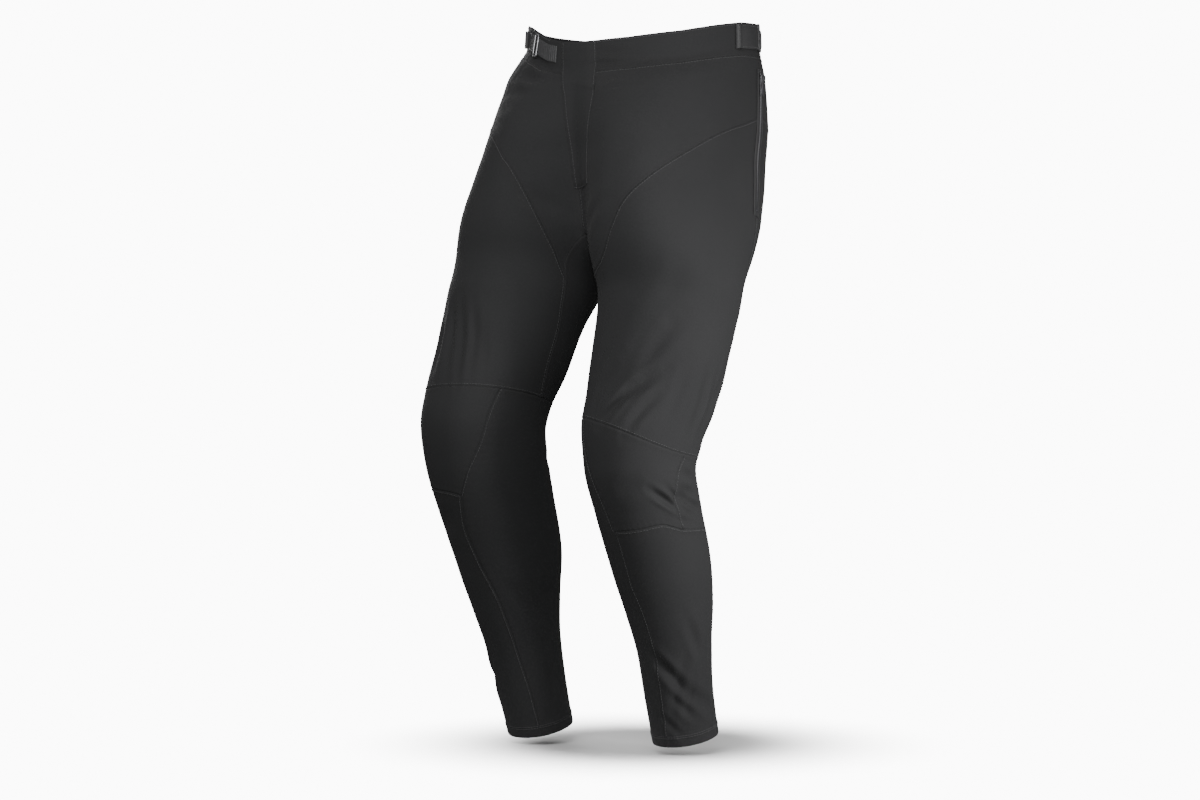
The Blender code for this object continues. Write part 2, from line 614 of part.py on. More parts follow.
def make_inner_thigh(side, name):
    crotch = crotch_line(side, INNER_COLUMNS)
    front = seam((crotch[0], *GUSSET_FRONT[side]), GUSSET_ROWS)
    front += seam(ending(side, INSEAM_FRONT[side]), INSEAM_ROWS)[1:]
    back = seam((crotch[-1], *GUSSET_BACK[side]), GUSSET_ROWS)
    back += seam(ending(side, INSEAM_BACK[side]), INSEAM_ROWS)[1:]
    knee = knee_run(side, front[-1][0], INNER_COLUMNS, back[-1][0])
    wall(f"inner_thigh_{name}", patch(side, crotch, knee, front, back), BLACK_WOVEN)


def make_lower_leg(side, name):
    """The knee, its side, the shin, the inner calf and the outer calf."""
    inner_top, outer_top = KNEE_INNER[side][0][0], KNEE_OUTER[side][0][0]
    calf_top, inseam_back, inseam_front = (run[side][edge][0] for run, edge in (
        (CALF_INNER, 0), (INSEAM_BACK, -1), (INSEAM_FRONT, -1)))
    knee_low = seam(KNEE_LOW[side], KNEE_COLUMNS)
    side_low = seam((KNEE_LOW[side][-1], KNEE_LOW_SIDE[side]), KNEE_SIDE_COLUMNS)
    inner = seam(starting(side, KNEE_INNER[side]), KNEE_ROWS)
    outer = seam(starting(side, KNEE_OUTER[side]), KNEE_ROWS)
    top = knee_run(side, inner_top, KNEE_COLUMNS, outer_top)
    wall(f"knee_front_{name}", patch(side, top, knee_low, inner, outer), BLACK_WOVEN)

    top = knee_run(side, outer_top, KNEE_SIDE_COLUMNS, BACK_SIDE_ANGLE)
    calf_outer = seam((on_knee_top(side, BACK_SIDE_ANGLE), KNEE_LOW_SIDE[side]), KNEE_ROWS)
    wall(f"knee_side_{name}", patch(side, top, side_low, outer, calf_outer), BLACK_WOVEN)

    hem_front = seam((SHIN_INNER[side][-1], (OUTER_HEM_ANGLE, HEM)), KNEE_COLUMNS + KNEE_SIDE_COLUMNS)
    shin_inner = seam(SHIN_INNER[side], SHIN_ROWS)
    shin_outer = seam((KNEE_LOW_SIDE[side], (OUTER_HEM_ANGLE, HEM)), SHIN_ROWS)
    wall(f"shin_front_{name}", patch(side, knee_low + side_low[1:], hem_front, shin_inner, shin_outer),
         BLACK_WOVEN)

    outer = calf_outer + shin_outer[1:]
    calf_inner = seam(starting(side, CALF_INNER[side]), len(outer) - 1)
    top = knee_run(side, BACK_SIDE_ANGLE, CALF_COLUMNS, 360 + calf_top)
    hem_back = seam(((OUTER_HEM_ANGLE, HEM), (360 + CALF_INNER[side][-1][0], HEM)), CALF_COLUMNS)
    wall(f"calf_back_{name}", patch(side, top, hem_back, outer, shifted(calf_inner, 360)), BLACK_WOVEN)

    top = knee_run(side, calf_top, KNEE_INNER_COLUMNS, inseam_back, INNER_COLUMNS, inseam_front,
                   KNEE_INNER_COLUMNS, inner_top)
    hem_inner = seam((CALF_INNER[side][-1], SHIN_INNER[side][-1]), len(top) - 1)
    wall(f"inner_calf_{name}", patch(side, top, hem_inner, calf_inner, inner + shin_inner[1:]),
         BLACK_WOVEN)


def angle_at(side, drop, x):
    """The angle on the garment's front that lies so far from the middle."""
    low, high = -edge_angle(side, drop), 90.0
    for _ in range(40):
        middle = (low + high) / 2
        if abs(bare_point(side, middle, drop).x) < abs(x):
            low = middle
        else:
            high = middle
    return (low + high) / 2


def fly_place(drop, x):
    side = 1 if x >= 0 else -1
    return (side, angle_at(side, drop, x), drop)


def make_fly(ground):
    """The overlapping placket, laid on both fronts from the waistband's edge to the bar stitching."""
    rows, columns = 18, 9
    grid = []
    for r in range(rows + 1):
        drop = FLY_EDGES[0][0] + (FLY_END - FLY_EDGES[0][0]) * r / rows
        free = broken_line([(row[0], row[1]) for row in FLY_EDGES], drop)
        stitched = broken_line([(row[0], row[2]) for row in FLY_EDGES], drop)
        grid.append([fly_place(drop, free + (stitched - free) * c / columns) for c in range(columns + 1)])
    wall("fly_placket", grid, BLACK_WOVEN, out=CLOTH + FLY_GAP, gap=0.0, ground=ground)


def side_angle(side, drop):
    rows = [(d, a) for a, d in (*SIDE_UPPER, *SIDE_LOWER[side][1:])]
    return broken_line(rows, drop)


def make_zip(side, name, ground):
    """A tape with a low ridge of closed teeth along the side seam, its slider, and a pull tab hung on it."""
    rows, offsets = 20, (-1.0, -0.42, -0.28, 0.28, 0.42, 1.0)
    grid = []
    for r in range(rows + 1):
        drop = ZIP_TOP + (ZIP_END - ZIP_TOP) * r / rows
        across = TAPE_HALF / arc_of_degree(side, side_angle(side, drop), drop)
        grid.append([(side, side_angle(side, drop) + across * share, drop) for share in offsets])
    wall(f"zip_tape_{name}", grid, ZIP_TAPE, thick=TAPE_THICK, out=TAPE_THICK + LAID_GAP, gap=0.0,
         ground=ground, raised=lambda r, c: TEETH_HIGH if c in (2, 3) else 0.0)

    def tape_face(down, across):
        """The zip's outer face, so far down from the slider's middle and across to the back."""
        drop = SLIDER_DROP + down
        angle = side_angle(side, drop)
        place = (side, angle + across / arc_of_degree(side, angle, drop), drop)
        return ground.under(place) + normal(*place) * (TAPE_THICK + LAID_GAP + TEETH_HIGH)

    half = SLIDER_LONG / 2
    down = (tape_face(half, 0) - tape_face(-half, 0)).normalized()
    across = normal(side, side_angle(side, SLIDER_DROP), SLIDER_DROP).cross(down).normalized()
    out = down.cross(across)
    middle = tape_face(0, 0)
    under = [tape_face(a, b) for a in (-half, 0, half) for b in (-SLIDER_WIDE / 2, 0, SLIDER_WIDE / 2)]
    middle += out * (max((at - middle).dot(out) for at in under) + METAL_CLEAR)
    make_slider(f"zip_slider_{name}", middle, down, across, out)

    hinge = middle + down * HINGE_ALONG + out * HINGE_HIGH
    lowest = METAL_CLEAR + PULL_THICK / 2
    met = [(tape_face(HINGE_ALONG + PULL_LONG * share, across_by) - hinge, lowest)
           for share in (0.5, 0.7, 0.85, 1.0) for across_by in (-PULL_WIDE / 2, 0, PULL_WIDE / 2)]
    met.append((down * (half - HINGE_ALONG) + out * (SLIDER_THIN - HINGE_HIGH), lowest))
    slope = max((at.dot(out) + clear) / at.dot(down) for at, clear in met)
    along = (down + out * slope).normalized()
    make_pull(f"zip_pull_{name}", hinge, along, across, along.cross(across))


def arc_of_degree(side, angle, drop):
    """Metres of cloth in one degree round the form at a place."""
    return (bare_point(side, angle + 1, drop) - bare_point(side, angle - 1, drop)).length / 2


def prism(outline, low, high, place):
    """Points and faces of an outline raised from low to high, each point passed through place."""
    count = len(outline)
    points = [place(a, b, low) for a, b in outline]
    points += [place(a, b, high(a) if callable(high) else high) for a, b in outline]
    faces = [tuple(range(count)), tuple(reversed(range(count, 2 * count)))]
    for i in range(count):
        j = (i + 1) % count
        faces.append((i, i + count, j + count, j))
    return points, faces


def ring_prism(outer, inner, low, high, place):
    """The same for an outline with a window, whose points answer to the outline's one by one."""
    count = len(outer)
    loops = [[place(a, b, level) for a, b in line] for level in (low, high) for line in (outer, inner)]
    faces = []
    for i in range(count):
        j = (i + 1) % count
        for near, far in ((0, 1), (1, 3), (3, 2), (2, 0)):
            faces.append((near * count + i, near * count + j, far * count + j, far * count + i))
    return [at for loop in loops for at in loop], faces


def make_slider(name, middle, down, across, out):
    """A shield-shaped plate that thins downward, with an arch over it that the pull tab hangs on."""
    half, wide = SLIDER_LONG / 2, SLIDER_WIDE / 2

    def place(a, b, h):
        return middle + down * a + across * b + out * h

    def top(a):
        return SLIDER_THICK + (SLIDER_THIN - SLIDER_THICK) * smooth_step(a / half)

    profile = [(-half, wide * 0.8), (-half * 0.6, wide), (0.0, wide * 0.9), (half * 0.5, wide * 0.78),
               (half, wide * 0.6)]
    plate = make_object(name, *prism(profile + [(a, -b) for a, b in reversed(profile)], 0.0, top, place),
                        ZIP_METAL)

    bevel = ARCH_THICK
    sunk = SLIDER_THICK / 2
    outer = [(ARCH_FROM, sunk), (ARCH_FROM, ARCH_HIGH - bevel), (ARCH_FROM + bevel, ARCH_HIGH),
             (ARCH_TO - bevel, ARCH_HIGH), (ARCH_TO, ARCH_HIGH - bevel), (ARCH_TO, sunk)]
    inner = [(ARCH_FROM + ARCH_THICK, sunk + ARCH_THICK / 2),
             (ARCH_FROM + ARCH_THICK, ARCH_HIGH - 1.6 * ARCH_THICK),
             (ARCH_FROM + 1.6 * ARCH_THICK, ARCH_HIGH - ARCH_THICK),
             (ARCH_TO - 1.6 * ARCH_THICK, ARCH_HIGH - ARCH_THICK),
             (ARCH_TO - ARCH_THICK, ARCH_HIGH - 1.6 * ARCH_THICK),
             (ARCH_TO - ARCH_THICK, sunk + ARCH_THICK / 2)]
    arch = make_object(f"{name}_arch",
                       *ring_prism(outer, inner, -ARCH_WIDE / 2, ARCH_WIDE / 2, lambda a, h, b: place(a, b, h)),
                       ZIP_METAL)
    arch.hide_render = True
    arch.display_type = "WIRE"
    join = plate.modifiers.new("arch", "BOOLEAN")
    join.operation = "UNION"
    join.solver = "EXACT"
    join.object = arch


def make_pull(name, hinge, along, across, out):
    """A tab with a rounded end, and a window at its top that the slider's arch passes through.

    Its origin is on the hinge, in the middle of the bar above the window.
    """
    half, window = PULL_WIDE / 2, WINDOW_WIDE / 2

    def from_hinge(a, b, h):
        return along * a + across * b + out * h

    outer, inner = [], []
    for a, b, at, beside in ((-PULL_BAR, 0.0, PULL_BAR, 0.0), (-PULL_BAR, 0.8, PULL_BAR, 1.0),
                             (PULL_LONG * 0.2, 0.8, WINDOW_LONG * 0.4, 1.0),
                             (PULL_LONG * 0.4, 1.0, WINDOW_LONG, 1.0),
                             (PULL_LONG * 0.9, 1.0, WINDOW_LONG, 0.8),
                             (PULL_LONG * 0.97, 0.7, WINDOW_LONG, 0.5), (PULL_LONG, 0.3, WINDOW_LONG, 0.2)):
        outer.append((a, b * half))
        inner.append((at, beside * window))
    outer += [(a, -b) for a, b in reversed(outer[1:])]
    inner += [(a, -b) for a, b in reversed(inner[1:])]
    made = make_object(name, *ring_prism(outer, inner, -PULL_THICK / 2, PULL_THICK / 2, from_hinge),
                       ZIP_METAL)
    made.location = hinge
    place, axis = (tuple(round(v, 6) for v in vector) for vector in (hinge, -across))
    print(f"{name}: hinge at {place}, lifts about {axis}")


def strap_grid(side, start, end, half, rows, columns):
    grid = []
    for r in range(rows + 1):
        drop = STRAP_MIDDLE - half + 2 * half * r / rows
        grid.append([(side, start + (end - start) * c / columns, drop) for c in range(columns + 1)])
    return grid


def make_adjuster(side, name, ground):
    """A ribbed strap, a wire ring, and a webbing tab folded over at its far end."""
    ladder_from, ladder_to, ring_at, tab_from, tab_to = ADJUSTERS[side]
    arc = arc_of_degree(side, (ladder_from + ladder_to) / 2, STRAP_MIDDLE)
    ribs = round((ladder_to - ladder_from) * arc / RIB_PITCH)
    grid = strap_grid(side, ladder_from, ladder_to, LADDER_HALF, STRAP_ROWS, 4 * ribs)
    wall(f"adjuster_ladder_{name}", grid, BLACK_WEBBING, thick=STRAP_THICK, out=STRAP_THICK + LAID_GAP,
         gap=0.0, ground=ground, raised=lambda r, c: RIB_HIGH if c % 4 in (1, 2) else 0.0)

    columns = 9
    folded = 0 if side == 1 else columns - 1
    grid = strap_grid(side, tab_from, tab_to, TAB_HALF[side], STRAP_ROWS, columns)
    wall(f"adjuster_tab_{name}", grid, BLACK_WEBBING, thick=STRAP_THICK, out=STRAP_THICK + LAID_GAP,
         gap=0.0, ground=ground, raised=lambda r, c: FOLD_HIGH if c in (folded, folded + 1) else 0.0)

    make_object(f"adjuster_ring_{name}", *ring_mesh(side, ring_at, ground), BLACK_WIRE)


def ring_mesh(side, ring_at, ground):
    """A wire bent round a tall rectangle with round corners, lying on the waistband."""
    arc = arc_of_degree(side, ring_at, STRAP_MIDDLE)
    tall, wide = RING_HALF_TALL[side] - RING_CORNER, RING_HALF_WIDE - RING_CORNER
    route = []
    for corner, (up, over) in enumerate(((tall, wide), (-tall, wide), (-tall, -wide), (tall, -wide))):
        for k in range(4):
            turn = math.radians(90 * corner + 30 * k)
            route.append((up + RING_CORNER * math.cos(turn), over + RING_CORNER * math.sin(turn)))
    sides = 8
    points, faces = [], []
    out = normal(side, ring_at, STRAP_MIDDLE)
    centres = [ground.under((side, ring_at + over / arc, STRAP_MIDDLE - up)) + out * RING_OUT
               for up, over in route]
    count = len(centres)
    for i, centre in enumerate(centres):
        along = (centres[(i + 1) % count] - centres[i - 1]).normalized()
        outward = along.cross(out).normalized()
        rise = outward.cross(along)
        for k in range(sides):
            turn = 2 * math.pi * k / sides
            points.append(centre + (outward * math.cos(turn) + rise * math.sin(turn)) * RING_WIRE)
    for i in range(count):
        for k in range(sides):
            a, b = i * sides + k, i * sides + (k + 1) % sides
            c, d = (i + 1) % count * sides + (k + 1) % sides, (i + 1) % count * sides + k
            faces.append((a, b, c, d))
    return points, faces


def main():
    for old in list(bpy.data.objects):
        bpy.data.objects.remove(old, do_unlink=True)
    make_waistband()
    for side, name in ((1, "left"), (-1, "right")):
        make_hips(side, name)
        make_inner_thigh(side, name)
        make_lower_leg(side, name)
    panels = Ground([made.name for made in bpy.data.objects])
    for side, name in ((1, "left"), (-1, "right")):
        make_zip(side, name, panels)
        make_adjuster(side, name, panels)
    make_fly(panels)


main()
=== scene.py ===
# %% [markdown]
# Black mountain bike trousers, standing as worn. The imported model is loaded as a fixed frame: it says where
# every panel, zip and strap is. Each cloth panel is then sewn again as a finer shell on the same form, with
# its creases, rolled seams and stitches, and the hard pieces keep their solids and get their real finish.

# %% Load the frame
import math
from functools import lru_cache

import bmesh
import bpy
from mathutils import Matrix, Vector


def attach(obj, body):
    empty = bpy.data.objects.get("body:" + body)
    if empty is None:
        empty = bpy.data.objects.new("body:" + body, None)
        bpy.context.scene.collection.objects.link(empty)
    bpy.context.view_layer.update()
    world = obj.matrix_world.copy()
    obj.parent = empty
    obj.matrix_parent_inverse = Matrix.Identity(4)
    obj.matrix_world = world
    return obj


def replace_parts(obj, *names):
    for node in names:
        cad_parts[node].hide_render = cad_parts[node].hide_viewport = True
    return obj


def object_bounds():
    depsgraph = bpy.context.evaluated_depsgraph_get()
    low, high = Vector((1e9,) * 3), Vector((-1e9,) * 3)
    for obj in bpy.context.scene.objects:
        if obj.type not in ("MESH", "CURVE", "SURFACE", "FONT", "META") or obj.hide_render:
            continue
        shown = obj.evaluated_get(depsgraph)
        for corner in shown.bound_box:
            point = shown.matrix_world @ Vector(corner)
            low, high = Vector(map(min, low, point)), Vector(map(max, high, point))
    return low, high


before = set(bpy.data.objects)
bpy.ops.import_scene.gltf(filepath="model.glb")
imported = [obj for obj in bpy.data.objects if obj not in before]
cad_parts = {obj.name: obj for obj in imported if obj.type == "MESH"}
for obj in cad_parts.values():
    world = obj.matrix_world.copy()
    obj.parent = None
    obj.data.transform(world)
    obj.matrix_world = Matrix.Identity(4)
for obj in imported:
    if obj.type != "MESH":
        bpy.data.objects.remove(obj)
CAD_BOX = [list(corner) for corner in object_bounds()]
bpy.ops.object.select_all(action="DESELECT")
print("nodes in the frame:", len(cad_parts))

# %% [markdown]
# A camera about 4 m away, a little above the knees and 40 degrees round to the wearer's left, fits the
# photograph's outline. A long lens at that distance gives its slight narrowing towards the hems, and the
# camera needs no shift.

# %% Camera
CAMERA_ROUND = math.radians(40)
CAMERA_AWAY = 4.0
CAMERA_ASIDE = -0.06003
CAMERA_LEVEL = -0.463
CAMERA_LENS, CAMERA_SENSOR = 86.96, 36

across_view = Vector((math.cos(CAMERA_ROUND), math.sin(CAMERA_ROUND), 0))
towards_camera = Vector((math.sin(CAMERA_ROUND), -math.cos(CAMERA_ROUND), 0))
bpy.ops.object.camera_add(
    location=across_view * CAMERA_ASIDE + towards_camera * CAMERA_AWAY + Vector((0, 0, CAMERA_LEVEL)),
    rotation=(math.radians(90), 0, CAMERA_ROUND))
camera = bpy.context.object
camera.data.lens = CAMERA_LENS
camera.data.sensor_width = CAMERA_SENSOR
bpy.context.scene.camera = camera

# %% [markdown]
# Trousers are cut from flat panels, but worn they follow one smooth form: rings round the hips that split
# into two legs. The solids were made from a short table of such rings, and the same rings are used here, so
# that every new shell lies on its solid but for its small creases. A place on the form is an angle round the
# leg, 0 at its front and 90 on its outer side, and a drop below the waist.

# %% The rings of the form
YOKE_ROWS, MIDDLE_ROWS, GUSSET_ROWS, SEAT_ROWS, INSEAM_ROWS = 4, 12, 4, 8, 12
THIGH_ROWS = 24
KNEE_ROWS, SHIN_ROWS = 6, 12
INNER_COLUMNS, KNEE_INNER_COLUMNS, KNEE_COLUMNS, KNEE_SIDE_COLUMNS, CALF_COLUMNS = 4, 2, 8, 2, 6
FRONT_COLUMNS = KNEE_INNER_COLUMNS + KNEE_COLUMNS + KNEE_SIDE_COLUMNS
BACK_COLUMNS = CALF_COLUMNS + KNEE_INNER_COLUMNS
SCOOP_EASE = 1.5
DEGREE_OF_ARC = 0.0016

RIM = -0.018
WAIST_SEAM = 0.026
FLY_END = 0.192
HEM = 0.915
HOLLOW_REACH = 0.105
LIFT_TOP, LIFT_END = 0.020, 0.110
SPLIT_START, SPLIT_END = 0.272, 0.340

# Sections. drop: how far a ring's centre lies below the origin. out, fore: that centre's place, away from
# the middle and along Y. tilt: degrees by which the ring's front is raised. outer, inner, front, back: its
# half sizes. square: 2 is round, more is squarer. bridge: how far the cloth bridges the middle between the
# legs. hollow: how far the front sinks in between the thighs.
HIP_SECTIONS = (
    # drop,   out,   fore, tilt, outer, inner, front, back, square, bridge, hollow
    (-0.040, 0.000, 0.000, 0, 0.174, 0.174, 0.133, 0.127, 2.00, 0.000, 0.000),
    (0.014, 0.000, 0.000, 0, 0.176, 0.176, 0.139, 0.128, 2.00, 0.000, 0.000),
    (0.050, 0.032, -0.016, 2, 0.154, 0.150, 0.141, 0.140, 2.15, 0.004, 0.010),
    (0.100, 0.062, -0.034, 4, 0.128, 0.129, 0.145, 0.150, 2.30, 0.010, 0.022),
    (0.150, 0.086, -0.050, 7, 0.107, 0.122, 0.141, 0.150, 2.30, 0.016, 0.028),
    (0.200, 0.104, -0.066, 10, 0.098, 0.113, 0.135, 0.142, 2.30, 0.020, 0.028),
    (0.245, 0.114, -0.082, 13, 0.099, 0.103, 0.126, 0.126, 2.25, 0.022, 0.018),
    (0.300, 0.121, -0.101, 15, 0.098, 0.090, 0.107, 0.105, 2.15, 0.022, 0.000),
    (0.353, 0.122, -0.116, 17, 0.091, 0.088, 0.095, 0.095, 2.10, 0.020, 0.000),
)
LEG_TOP = HIP_SECTIONS[6]
LEG_SECTIONS = {
    1: (
        LEG_TOP,
        (0.300, 0.122, -0.095, 15, 0.098, 0.087, 0.102, 0.106, 2.15, 0.022, 0.000),
        (0.353, 0.124, -0.103, 16, 0.090, 0.086, 0.094, 0.094, 2.10, 0.020, 0.000),
        (0.408, 0.123, -0.116, 16, 0.086, 0.085, 0.091, 0.089, 2.10, 0.018, 0.000),
        (0.463, 0.120, -0.131, 15, 0.082, 0.080, 0.088, 0.086, 2.10, 0.016, 0.000),
        (0.515, 0.120, -0.150, 8, 0.074, 0.074, 0.084, 0.082, 2.10, 0.014, 0.000),
        (0.550, 0.119, -0.152, -2, 0.069, 0.069, 0.078, 0.077, 2.10, 0.012, 0.000),
        (0.600, 0.119, -0.138, -10, 0.066, 0.066, 0.073, 0.073, 2.10, 0.010, 0.000),
        (0.680, 0.118, -0.107, -15, 0.062, 0.062, 0.069, 0.069, 2.10, 0.008, 0.000),
        (0.737, 0.118, -0.090, -15, 0.056, 0.056, 0.061, 0.061, 2.10, 0.006, 0.000),
        (0.793, 0.117, -0.078, -14, 0.048, 0.048, 0.052, 0.052, 2.10, 0.004, 0.000),
        (0.850, 0.116, -0.068, -13, 0.044, 0.044, 0.049, 0.048, 2.10, 0.002, 0.000),
        (0.915, 0.115, -0.052, -12, 0.042, 0.042, 0.046, 0.046, 2.10, 0.000, 0.000),
    ),
    -1: (
        LEG_TOP,
        (0.300, 0.120, -0.109, 16, 0.098, 0.093, 0.106, 0.104, 2.15, 0.022, 0.000),
        (0.353, 0.121, -0.136, 18, 0.092, 0.090, 0.095, 0.095, 2.10, 0.020, 0.000),
        (0.408, 0.120, -0.160, 19, 0.086, 0.086, 0.091, 0.090, 2.10, 0.018, 0.000),
        (0.463, 0.120, -0.187, 14, 0.081, 0.080, 0.088, 0.086, 2.10, 0.016, 0.000),
        (0.500, 0.120, -0.196, 5, 0.080, 0.079, 0.089, 0.086, 2.10, 0.014, 0.000),
        (0.540, 0.120, -0.191, -6, 0.078, 0.078, 0.086, 0.085, 2.10, 0.012, 0.000),
        (0.600, 0.119, -0.172, -14, 0.074, 0.074, 0.081, 0.081, 2.10, 0.010, 0.000),
        (0.680, 0.118, -0.144, -16, 0.068, 0.068, 0.074, 0.074, 2.10, 0.008, 0.000),
        (0.737, 0.118, -0.131, -15, 0.058, 0.058, 0.063, 0.063, 2.10, 0.006, 0.000),
        (0.793, 0.117, -0.118, -14, 0.050, 0.050, 0.053, 0.053, 2.10, 0.004, 0.000),
        (0.850, 0.116, -0.103, -14, 0.046, 0.046, 0.050, 0.049, 2.10, 0.002, 0.000),
        (0.915, 0.115, -0.084, -14, 0.043, 0.043, 0.046, 0.046, 2.10, 0.000, 0.000),
    ),
}

# How far the waistband rises above its height at centre front: degrees round from the front, metres.
RISE = {
    1: ((0, 0.000), (25, 0.003), (50, 0.010), (70, 0.019), (86, 0.025), (110, 0.028), (180, 0.026)),
    -1: ((0, 0.000), (10, 0.003), (20, 0.010), (30, 0.022), (40, 0.032), (52, 0.039), (65, 0.040),
         (90, 0.035), (180, 0.026)),
}

# Largest folds, soft troughs pressed into the form. They run from one place to another, each an angle
# round the leg and a drop. depth: at the middle of the run. width: half the trough's width.
FOLDS = (
    # side, angle, drop, angle, drop, depth, width
    (1, -12, 0.487, 44, 0.380, 0.0050, 0.014),
    (1, 14, 0.490, 62, 0.410, 0.0035, 0.012),
    (1, -30, 0.470, 10, 0.350, 0.0030, 0.013),
    (1, 118, 0.590, 74, 0.585, 0.0060, 0.011),
    (1, 120, 0.620, 84, 0.606, 0.0045, 0.010),
    (1, 20, 0.880, 66, 0.780, 0.0035, 0.012),
    (1, 40, 0.885, 84, 0.820, 0.0030, 0.011),
    (1, 200, 0.560, 150, 0.545, 0.0060, 0.013),
    (1, 215, 0.590, 160, 0.600, 0.0050, 0.012),
    (-1, 16, 0.330, 10, 0.440, 0.0035, 0.012),
    (-1, 34, 0.340, 30, 0.440, 0.0030, 0.012),
    (-1, 200, 0.520, 150, 0.505, 0.0060, 0.013),
    (-1, 215, 0.550, 160, 0.560, 0.0050, 0.012),
    (-1, 118, 0.545, 80, 0.540, 0.0045, 0.011),
    (-1, 14, 0.040, 52, 0.042, 0.0040, 0.008),
    (-1, 12, 0.062, 48, 0.066, 0.0030, 0.009),
    (1, 222, 0.262, 176, 0.300, 0.0050, 0.014),
    (-1, 222, 0.262, 176, 0.300, 0.0050, 0.014),
)

# Seams, each a run of places on the form: (angle, drop).
SIDE_UPPER = ((106, 0.026), (106, 0.055), (107, 0.084))
SIDE_LOWER = {
    1: ((107, 0.084), (110, 0.134), (114, 0.182), (120, 0.250), (123, 0.380), (124, 0.536)),
    -1: ((107, 0.084), (110, 0.134), (114, 0.182), (120, 0.250), (123, 0.380), (124, 0.460)),
}
SCOOP = {
    1: ((-70, 0.310), (-45, 0.314), (-24, 0.308), (-8, 0.285), (0, 0.262), (7, 0.238), (17, 0.2155),
        (32, 0.190), (58, 0.148), (81, 0.111), (95, 0.094), (107, 0.084)),
    -1: ((-74, 0.306), (-60, 0.280), (-42, 0.251), (-25, 0.2155), (-8, 0.1745), (10, 0.134), (29, 0.109),
         (49, 0.094), (80, 0.086), (107, 0.084)),
}
GUSSET_FRONT_TOP = 0.250
GUSSET_BACK_TOP = 0.244
GUSSET_FRONT = {1: ((-66, 0.280), (-70, 0.310)), -1: ((-68, 0.280), (-74, 0.306))}
GUSSET_BACK = {1: ((-117, 0.275), (-116, 0.310)), -1: ((-117, 0.275), (-116, 0.306))}
INSEAM_FRONT = {
    1: ((-70, 0.310), (-78, 0.370), (-84, 0.430), (-90, 0.500)),
    -1: ((-74, 0.306), (-80, 0.334), (-86, 0.370), (-88, 0.410), (-98, 0.455)),
}
INSEAM_BACK = {
    1: ((-116, 0.310), (-117, 0.370), (-120, 0.430), (-124, 0.505)),
    -1: ((-116, 0.306), (-117, 0.360), (-120, 0.410), (-124, 0.455)),
}
YOKE_BACK_DROP = 0.108
KNEE_TOP = {1: (0.517, 0.019, 122), -1: (0.460, 0.006, 30)}
KNEE_LOW = {
    1: ((-2, 0.620), (30, 0.618), (52, 0.616), (78, 0.628)),
    -1: ((-12, 0.574), (0, 0.570), (30, 0.568), (76, 0.580)),
}
KNEE_INNER = {
    1: ((-30, 0.5), (-26, 0.534), (-20, 0.550), (-10, 0.580), (-2, 0.620)),
    -1: ((-54, 0.46), (-44, 0.510), (-26, 0.545), (-12, 0.574)),
}
KNEE_OUTER = {
    1: ((92, 0.53), (82, 0.566), (76, 0.595), (78, 0.628)),
    -1: ((92, 0.46), (84, 0.500), (76, 0.545), (76, 0.580)),
}
SHIN_INNER = {
    1: ((-2, 0.620), (-2, 0.682), (2, 0.720), (6, 0.780), (8, 0.850), (4, HEM)),
    -1: ((-12, 0.574), (-6, 0.618), (-10, 0.658), (-24, 0.722), (-34, 0.800), (-42, 0.850), (-46, HEM)),
}
KNEE_LOW_SIDE = {1: (124, 0.642), -1: (124, 0.592)}
SIDE_ANGLE, BACK_SIDE_ANGLE, OUTER_HEM_ANGLE = 106, 124, 116
CALF_INNER = {1: ((-150, 0.5), (-152, 0.700), (-150, HEM)), -1: ((-150, 0.46), (-152, 0.700), (-150, HEM))}

# The fly placket's free edge and stitched edge: drop, and how far each lies from the middle, +X left.
FLY_EDGES = (
    # drop, free edge, stitched edge
    (-0.0185, -0.034, 0.028),
    (0.026, -0.0285, 0.033),
    (0.060, -0.0185, 0.041),
    (0.100, -0.0125, 0.041),
    (0.140, -0.0090, 0.038),
    (0.192, -0.006, 0.038),
)

# Side pocket zips and waist adjusters, with the same places as their solids.
ZIP_TOP, ZIP_END = 0.040, 0.205
TAPE_HALF = 0.010

# Waist adjusters: the ladder strap's run and the webbing tab's run, in degrees. The ring stands between them.
ADJUSTERS = {
    # side: (ladder from, ladder to, tab from, tab to)
    1: (112.2, 133.5, 82.0, 106.0),
    -1: (13.6, 28.6, 34.8, 46.5),
}
STRAP_MIDDLE = 0.001
LADDER_HALF = 0.0112
TAB_HALF = {1: 0.0165, -1: 0.0120}


# %% Read the form anywhere
def smooth_step(share):
    share = min(max(share, 0.0), 1.0)
    return share * share * (3 - 2 * share)


def broken_line(rows, at):
    """Reads a table of (place, value) rows at a place, straight between its rows."""
    if at <= rows[0][0]:
        return rows[0][1]
    for (start, low), (end, high) in zip(rows, rows[1:]):
        if at <= end:
            return low + (high - low) * (at - start) / (end - start)
    return rows[-1][1]


def slopes(places, values):
    """Slopes of a smooth curve through the values that never overshoots them."""
    rises = [(b - a) / (q - p) for a, b, p, q in zip(values, values[1:], places, places[1:])]
    found = [rises[0]]
    for before, after in zip(rises, rises[1:]):
        found.append(0.0 if before * after <= 0 else 2 * before * after / (before + after))
    found.append(rises[-1])
    return found


class SectionTable:
    """Reads every column of a table of sections at any drop."""

    def __init__(self, rows):
        self.drops = [row[0] for row in rows]
        self.columns = [list(column) for column in zip(*rows)][1:]
        self.slopes = [slopes(self.drops, column) for column in self.columns]

    def at(self, drop):
        last = len(self.drops) - 2
        i = 0
        while i < last and drop > self.drops[i + 1]:
            i += 1
        long = self.drops[i + 1] - self.drops[i]
        s = (drop - self.drops[i]) / long
        start, end = 2 * s**3 - 3 * s**2 + 1, 3 * s**2 - 2 * s**3
        leave, arrive = (s**3 - 2 * s**2 + s) * long, (s**3 - s**2) * long
        return [start * c[i] + end * c[i + 1] + leave * m[i] + arrive * m[i + 1]
                for c, m in zip(self.columns, self.slopes)]


